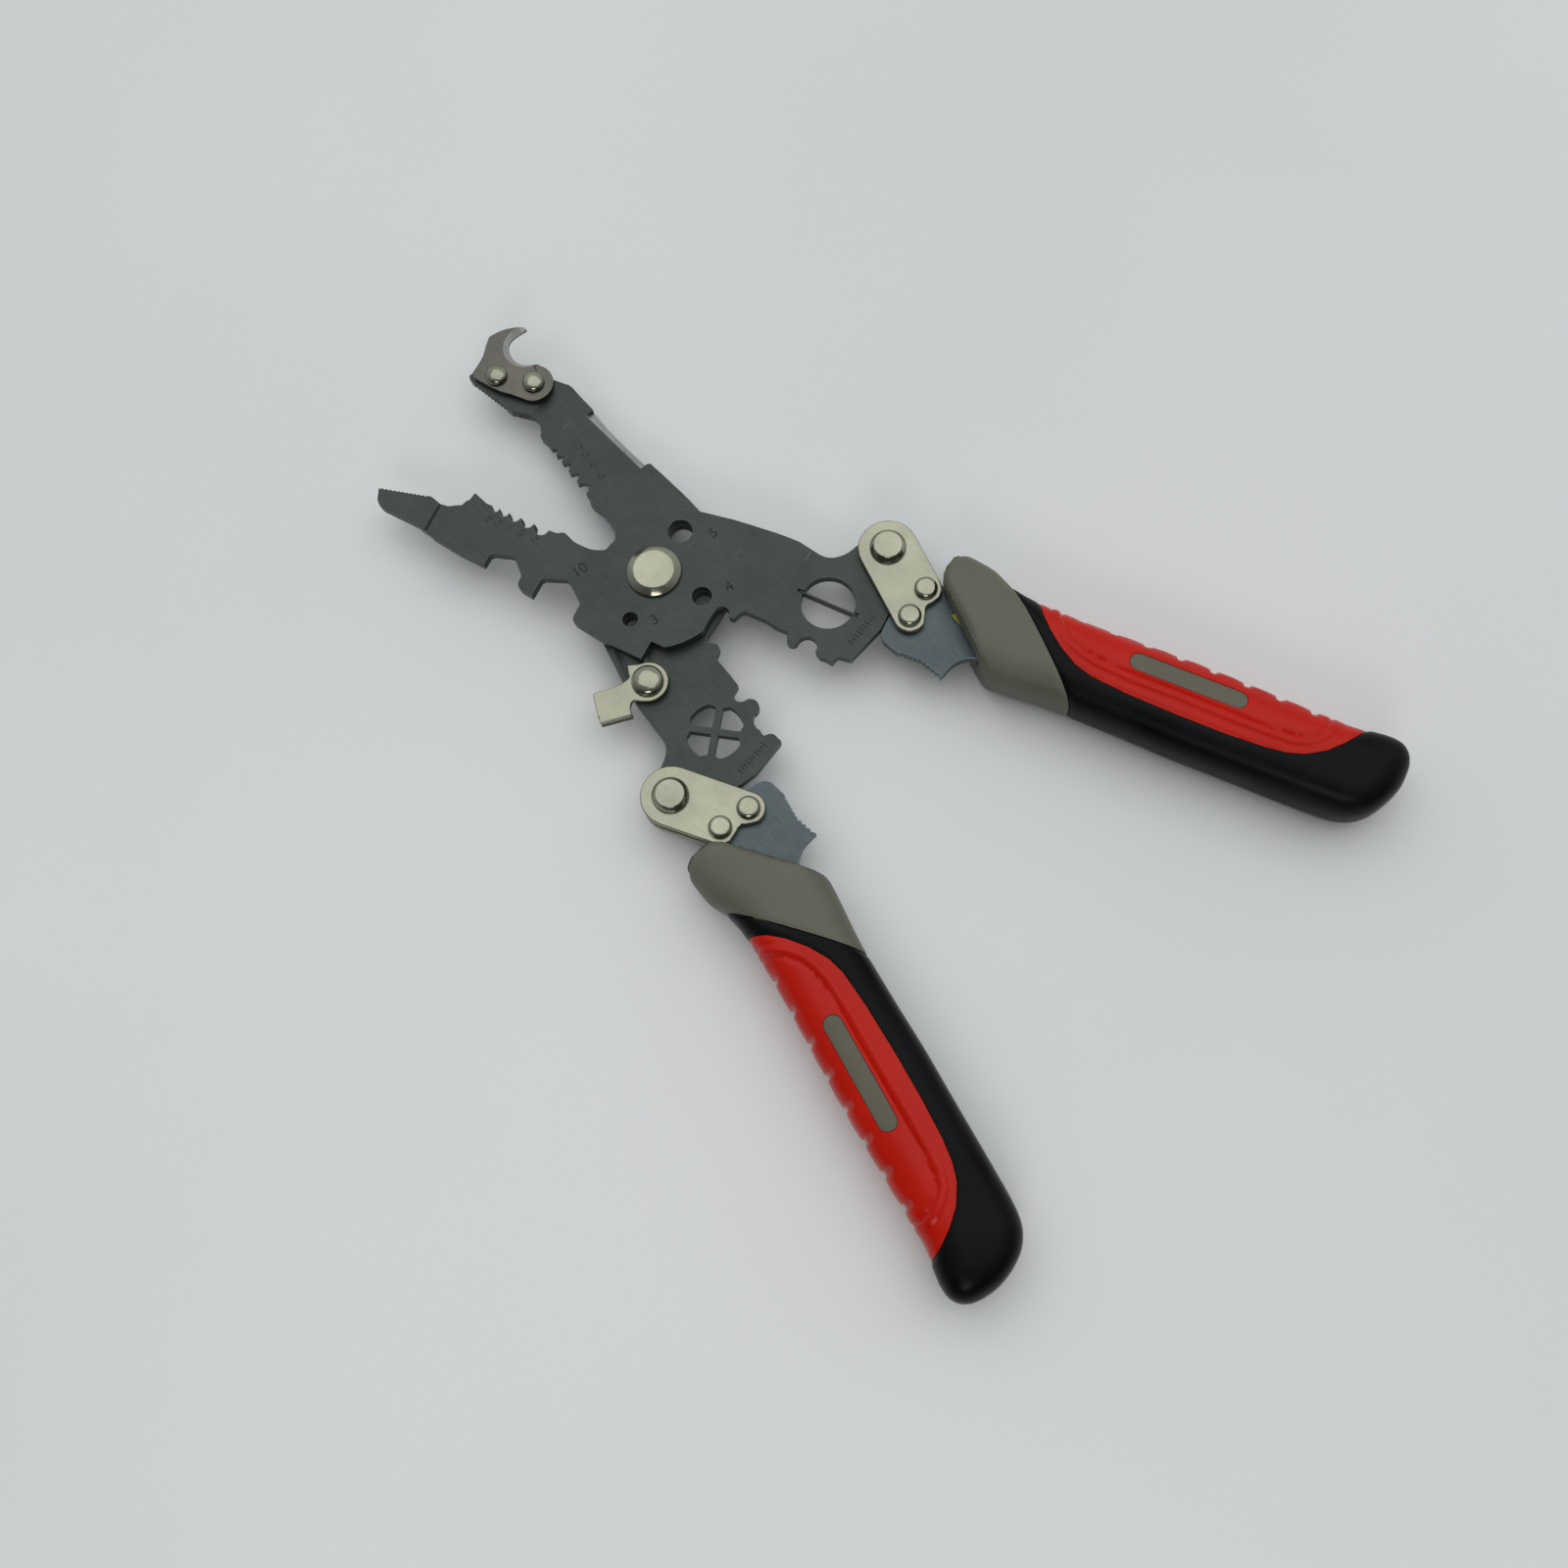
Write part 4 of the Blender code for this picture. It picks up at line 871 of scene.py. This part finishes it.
def grip_rows():
    """The grip's stations, filled in along a Catmull-Rom curve at one step of length."""
    stations = [np.array(station) for station in GRIP_STATIONS]
    padded = [stations[0], *stations, stations[-1]]
    rows = []
    for p0, p1, p2, p3 in zip(padded, padded[1:], padded[2:], padded[3:]):
        steps = max(2, round(float(np.linalg.norm(p2 - p1)) / GRIP_STEP))
        for t in np.arange(steps) / steps:
            rows.append(0.5 * (2 * p1 + (p2 - p0) * t + (2 * p0 - 5 * p1 + 4 * p2 - p3) * t ** 2
                               + (3 * p1 - p0 - 3 * p2 + p3) * t ** 3))
    return [*rows, stations[-1]]


def line_distance(points, line, closed=False):
    """Distance in plan from each point to a line of several stretches."""
    corners = [np.array(corner) for corner in line]
    ends = zip(corners, [*corners[1:], corners[0]]) if closed else zip(corners, corners[1:])
    nearest = np.full(len(points), np.inf)
    for start, end in ends:
        along = end - start
        share = np.clip(((points - start) @ along) / (along @ along), 0, 1)
        nearest = np.minimum(nearest, np.linalg.norm(points - start - share[:, None] * along, axis=1))
    return nearest


def inside(points, outline):
    """Which points lie in a closed outline, in plan."""
    within = np.zeros(len(points), bool)
    x, y = points[:, 0], points[:, 1]
    for (x0, y0), (x1, y1) in zip(outline, [*outline[1:], outline[0]]):
        if y0 != y1:
            crosses = ((y0 > y) != (y1 > y)) & (x < (x1 - x0) * (y - y0) / (y1 - y0) + x0)
            within ^= crosses
    return within


def smooth_step(values):
    """Rises smoothly from 0 to 1 as the values do, and stays level outside."""
    t = np.clip(values, 0, 1)
    return t * t * (3 - 2 * t)


def hump(values, width):
    """A bell of height 1 round 0."""
    return np.exp(-(values / width) ** 2)


def grip_relief(points):
    """How far the grip's surface stands out at each point: its seams, bead, plateau and ribs."""
    plan = points[:, :2]
    seam, mouth = sizes().seam_depth / MM, sizes().mouth_round / MM
    relief = -seam * hump(line_distance(plan, COLLAR_SEAM), SEAM_WIDTH)
    relief -= seam * hump(line_distance(plan, PANEL_EDGE), SEAM_WIDTH)

    fade = smooth_step((plan[:, 1] - MOUTH_FADE) / MOUTH_FADE_RUN)
    lip = mouth * (MOUTH_LEAST + (1 - MOUTH_LEAST) * fade)
    near_mouth = np.clip(1 - line_distance(plan, COLLAR_MOUTH) / lip, 0, 0.95)
    relief -= lip * (1 - np.sqrt(1 - near_mouth ** 2))

    within = inside(plan, PLATEAU_EDGE)
    depth = np.where(within, 1, -1) * line_distance(plan, PLATEAU_EDGE)
    on_panel = inside(plan, PANEL_EDGE)
    flank = 1 - smooth_step((plan[:, 1] - FLANK_END) / FLANK_RUN)
    relief -= on_panel * flank * LINE_DEPTH * hump(depth, LINE_WIDTH)
    relief += on_panel * flank * sizes().bead_height / MM * hump(depth - BEAD_MIDDLE, BEAD_WIDTH)
    relief -= on_panel * sizes().groove_depth / MM * hump(depth - PLATEAU_LINE, GROOVE_WIDTH)

    ribbed = within & (plan[:, 0] > RIB_FIRST) & (plan[:, 0] < RIB_LAST)
    phase = (plan[:, 0] - RIB_FIRST) % RIB_PITCH
    notch = np.minimum(phase, (RIB_PITCH - phase) * 2)
    side = smooth_step((plan[:, 1] - RIB_SIDE) / RIB_SIDE_RUN)
    crown = RIB_CROWN * np.sin(math.pi * phase / RIB_PITCH)
    trough = 1 - smooth_step((notch - RIB_NOTCH_HALF) / RIB_NOTCH_RUN)
    relief += ribbed * side * (crown - sizes().rib_depth / MM * trough)
    return relief


def grip_blank(name, sink=0.0):
    """The whole grip as one soft form: a grid wrapped round its rounded sections, with its relief."""
    rows = grip_rows()
    work = bmesh.new()
    bmesh.ops.create_grid(work, x_segments=len(rows) - 1, y_segments=GRIP_SIDES, size=0.5)
    for vertex in work.verts:
        x, inner, outer, half = rows[round((vertex.co.x + 0.5) * (len(rows) - 1))]
        angle = 2 * math.pi * (vertex.co.y + 0.5)
        c, s = math.cos(angle), math.sin(angle)
        radius = (abs(c) ** GRIP_POWER + abs(s) ** GRIP_POWER) ** (-1 / GRIP_POWER)
        vertex.co = (x, (inner + outer) / 2 + (outer - inner) / 2 * radius * c, half * radius * s)
    bmesh.ops.remove_doubles(work, verts=work.verts, dist=WELD)
    rims = [edge for edge in work.edges if edge.is_boundary]
    bmesh.ops.holes_fill(work, edges=rims, sides=0)
    bmesh.ops.recalc_face_normals(work, faces=work.faces)
    work.normal_update()
    relief = grip_relief(np.array([vertex.co for vertex in work.verts])) - sink
    for vertex, rise in zip(work.verts, relief):
        vertex.co += vertex.normal * float(rise)
    return to_object(work, name)


def shifted(outline, gap, centre):
    """An outline moved outwards from a centre."""
    middle = Vector(centre)
    return [tuple(Vector(point) + (Vector(point) - middle).normalized() * gap) for point in outline]


def panel_room(gap):
    """The room for the red panel: its plan through the whole grip, less the inner block."""
    room = prism(shifted(PANEL_EDGE, gap, PANEL_MIDDLE), -CUT_REACH, CUT_REACH)
    low_y, high_y = PANEL_INNER_LOW_Y, PANEL_INNER_Y - gap
    middle = (PANEL_INNER_X, (low_y + high_y) / 2, 0)
    return cut(room, block(middle, (PANEL_INNER_LENGTH, high_y - low_y, 2 * (PANEL_INNER_HALF - gap))))


def pad_plan(gap):
    """A pad's long rounded outline, moved outwards by a gap."""
    lean = math.atan2(PAD_ENDS[1].y - PAD_ENDS[0].y, PAD_ENDS[1].x - PAD_ENDS[0].x)
    radius = PAD_R + gap
    points = []
    for centre, start in ((PAD_ENDS[0], lean + math.pi / 2), (PAD_ENDS[1], lean - math.pi / 2)):
        for i in range(PAD_ARC_STEPS + 1):
            angle = start + math.pi * i / PAD_ARC_STEPS
            points.append((centre.x + radius * math.cos(angle), centre.y + radius * math.sin(angle)))
    return points


def grip_drawings():
    """Collar, body, panel and the two pads, each cut once from the blank."""
    seam_shift = Vector((COLLAR_SEAM[1][1] - COLLAR_SEAM[0][1], COLLAR_SEAM[0][0] - COLLAR_SEAM[1][0]))
    seam_shift = seam_shift.normalized() * GRIP_GAP
    front = [tuple(Vector(point) + seam_shift) for point in COLLAR_SEAM]
    rear = [tuple(Vector(point) - seam_shift) for point in COLLAR_SEAM]

    collar = grip_blank("collar")
    cut(collar, prism([*COLLAR_MOUTH, *front], -CUT_REACH, CUT_REACH), "INTERSECT")
    cut(collar, prism(CORE_PLAN, -CORE_HALF, CORE_HALF))
    cut(collar, prism(MOUTH_PLAN, -MOUTH_HALF, MOUTH_HALF))

    body = grip_blank("body")
    cut(body, prism([rear[0], *REAR_CORNERS, rear[1]], -CUT_REACH, CUT_REACH), "INTERSECT")
    cut(body, panel_room(GRIP_GAP))

    panel = grip_blank("panel")
    cut(panel, panel_room(0.0), "INTERSECT")
    pads = []
    for level, low, high in (("top", PAD_LOW, CUT_REACH), ("bottom", -CUT_REACH, -PAD_LOW)):
        cut(panel, prism(pad_plan(GRIP_GAP), low, high))
        pad = grip_blank(f"pad_{level}", PAD_SINK)
        pads.append(cut(pad, prism(pad_plan(0.0), low, high), "INTERSECT"))
    return collar, body, panel, pads


def grip_pieces():
    """Both grips: the same drawings, placed on each handle, and the yellow cores."""
    collar, body, panel, pads = grip_drawings()
    taupe, pad, black, red = taupe_finish(), pad_finish(), black_finish(), red_finish()
    yellow = yellow_finish()
    drawings = [
        (collar, "grip_collar", "grip_taupe", taupe),
        (body, "grip_body", "grip_black", black),
        (panel, "grip_panel", "grip_red", red),
        (pads[0], "grip_pad_top", "grip_taupe", pad),
        (pads[1], "grip_pad_bottom", "grip_taupe", pad),
    ]
    for letter in "ab":
        place, rides_on = handle_place(letter), f"handle_{letter}"
        for drawing, node, slot, finish in drawings:
            piece = bpy.data.objects.new(f"{drawing.name}_{letter}", drawing.data.copy())
            bpy.context.scene.collection.objects.link(piece)
            finished(piece, place, rides_on, (finish,), f"{node}_{letter}", sharp=48)
        core = to_object(copied(f"grip_core_{letter}", place), f"core_{letter}")
        cut(core, prism(CORE_TRIM, TONGUE_HALF, CUT_REACH))
        cut(core, prism(CORE_TRIM, -CUT_REACH, -TONGUE_HALF))
        cut(core, prism(TONGUE_TRIM, -CUT_REACH, CUT_REACH))
        soften(core, CORE_EDGE)
        finished(core, place, rides_on, (yellow,), f"grip_core_{letter}")
    for drawing, *_ in drawings:
        bpy.data.objects.remove(drawing, do_unlink=True)


# ---------------------------------------------------------------- studio

def floor():
    """A plain board under everything."""
    work = bmesh.new()
    bmesh.ops.create_grid(work, x_segments=1, y_segments=1, size=FLOOR_HALF)
    board = to_object(work, "floor")
    board.data.materials.append(floor_finish())


def soft_light(name, place, aim, size, power, colour):
    """A rectangular light that faces its aim."""
    lamp = bpy.data.lights.new(name, "AREA")
    lamp.shape = "RECTANGLE"
    lamp.size, lamp.size_y = size
    lamp.energy = power
    lamp.color = colour
    light = bpy.data.objects.new(name, lamp)
    bpy.context.scene.collection.objects.link(light)
    light.location = place
    light.rotation_euler = (Vector(aim) - Vector(place)).to_track_quat("-Z", "Y").to_euler()


def camera():
    """A camera above the tool, turned so that its right side runs along one heading in plan."""
    lens = bpy.data.cameras.new("camera")
    lens.sensor_width = SENSOR
    lens.lens = LENS
    lens.clip_start = 0.01
    lens.clip_end = 20.0
    eye = bpy.data.objects.new("camera", lens)
    bpy.context.scene.collection.objects.link(eye)
    forward = (CAMERA_AIM - CAMERA_PLACE).normalized()
    level = Vector((math.cos(CAMERA_HEADING), math.sin(CAMERA_HEADING), 0))
    right = (level - Vector((0, 0, level.dot(forward) / forward.z))).normalized()
    up = right.cross(forward)
    turn = Matrix((right, up, -forward)).transposed().to_4x4()
    eye.matrix_world = Matrix.Translation(PIVOT + CAMERA_PLACE * MM) @ turn
    bpy.context.scene.camera = eye


def studio_world():
    """A sky that is bright on one side and dim on the side where someone would stand."""
    world = bpy.data.worlds.new("studio")
    world.use_nodes = True
    tree = world.node_tree
    heading = tree.nodes.new("ShaderNodeTexCoord")
    toward = tree.nodes.new("ShaderNodeVectorMath")
    toward.operation = "DOT_PRODUCT"
    toward.inputs[1].default_value = SKY_BRIGHT_SIDE
    tree.links.new(heading.outputs["Generated"], toward.inputs[0])
    share = tree.nodes.new("ShaderNodeMapRange")
    share.inputs["From Min"].default_value = -1.0
    tree.links.new(toward.outputs["Value"], share.inputs["Value"])
    sky = ramp(tree, share.outputs["Result"], SKY_TONES)
    tree.links.new(sky, tree.nodes["Background"].inputs["Color"])
    tree.nodes["Background"].inputs["Strength"].default_value = SKY_STRENGTH
    bpy.context.scene.world = world


# ---------------------------------------------------------------- operators and panel

class STRIPPER_OT_jaws(Operator):
    """Build the jaw plates, the splitter strip and the pivot's coil"""

    bl_idname = "stripper.jaws"
    bl_label = "Jaws"
    bl_options = {"REGISTER", "UNDO"}

    def execute(self, context):
        jaw_pieces()
        splitter_piece()
        spring_piece()
        return {"FINISHED"}


class STRIPPER_OT_marks(Operator):
    """Build the numerals and rows of strokes"""

    bl_idname = "stripper.marks"
    bl_label = "Marks"
    bl_options = {"REGISTER", "UNDO"}

    def execute(self, context):
        mark_pieces()
        return {"FINISHED"}


class STRIPPER_OT_pivot(Operator):
    """Build the main pivot"""

    bl_idname = "stripper.pivot"
    bl_label = "Pivot"
    bl_options = {"REGISTER", "UNDO"}

    def execute(self, context):
        pivot_piece()
        return {"FINISHED"}


class STRIPPER_OT_hook(Operator):
    """Build the hook blade and its rivets"""

    bl_idname = "stripper.hook"
    bl_label = "Hook"
    bl_options = {"REGISTER", "UNDO"}

    def execute(self, context):
        hook_pieces()
        return {"FINISHED"}


class STRIPPER_OT_latch(Operator):
    """Build the lock lever and its rivet"""

    bl_idname = "stripper.latch"
    bl_label = "Latch"
    bl_options = {"REGISTER", "UNDO"}

    def execute(self, context):
        latch_pieces()
        return {"FINISHED"}


class STRIPPER_OT_links(Operator):
    """Build the links and their rivets"""

    bl_idname = "stripper.links"
    bl_label = "Links"
    bl_options = {"REGISTER", "UNDO"}

    def execute(self, context):
        link_pieces()
        return {"FINISHED"}


class STRIPPER_OT_tangs(Operator):
    """Build the handle tangs"""

    bl_idname = "stripper.tangs"
    bl_label = "Tangs"
    bl_options = {"REGISTER", "UNDO"}

    def execute(self, context):
        tang_pieces()
        return {"FINISHED"}


class STRIPPER_OT_grips(Operator):
    """Build both grips"""

    bl_idname = "stripper.grips"
    bl_label = "Grips"
    bl_options = {"REGISTER", "UNDO"}

    def execute(self, context):
        grip_pieces()
        return {"FINISHED"}


class STRIPPER_OT_studio(Operator):
    """Set up the floor, lights and camera"""

    bl_idname = "stripper.studio"
    bl_label = "Studio"
    bl_options = {"REGISTER", "UNDO"}

    def execute(self, context):
        floor()
        for light in LIGHTS:
            soft_light(*light)
        camera()
        studio_world()
        context.scene.view_settings.view_transform = "Standard"
        return {"FINISHED"}


OPERATORS = (
    STRIPPER_OT_jaws, STRIPPER_OT_marks, STRIPPER_OT_pivot, STRIPPER_OT_hook, STRIPPER_OT_latch,
    STRIPPER_OT_links, STRIPPER_OT_tangs, STRIPPER_OT_grips, STRIPPER_OT_studio,
)


class STRIPPER_PT_panel(Panel):
    """Lists the stripper's operators, sizes and colours"""

    bl_idname = "STRIPPER_PT_panel"
    bl_label = "Wire Stripper"
    bl_space_type = "VIEW_3D"
    bl_region_type = "UI"
    bl_category = "Stripper"

    def draw(self, context):
        for operator in OPERATORS:
            self.layout.operator(operator.bl_idname)
        for group in (context.scene.stripper_sizes, context.scene.stripper_colours):
            for name in group.bl_rna.properties.keys():
                if name not in ("rna_type", "name"):
                    self.layout.prop(group, name)


CLASSES = (StripperSizes, StripperColours, *OPERATORS, STRIPPER_PT_panel)


def register():
    for item in CLASSES:
        bpy.utils.register_class(item)
    bpy.types.Scene.stripper_sizes = PointerProperty(type=StripperSizes)
    bpy.types.Scene.stripper_colours = PointerProperty(type=StripperColours)


def unregister():
    del bpy.types.Scene.stripper_colours
    del bpy.types.Scene.stripper_sizes
    for item in reversed(CLASSES):
        bpy.utils.unregister_class(item)


def main():
    register()
    for operator in OPERATORS:
        group, name = operator.bl_idname.split(".")
        getattr(getattr(bpy.ops, group), name)()


if __name__ == "__main__":
    main()
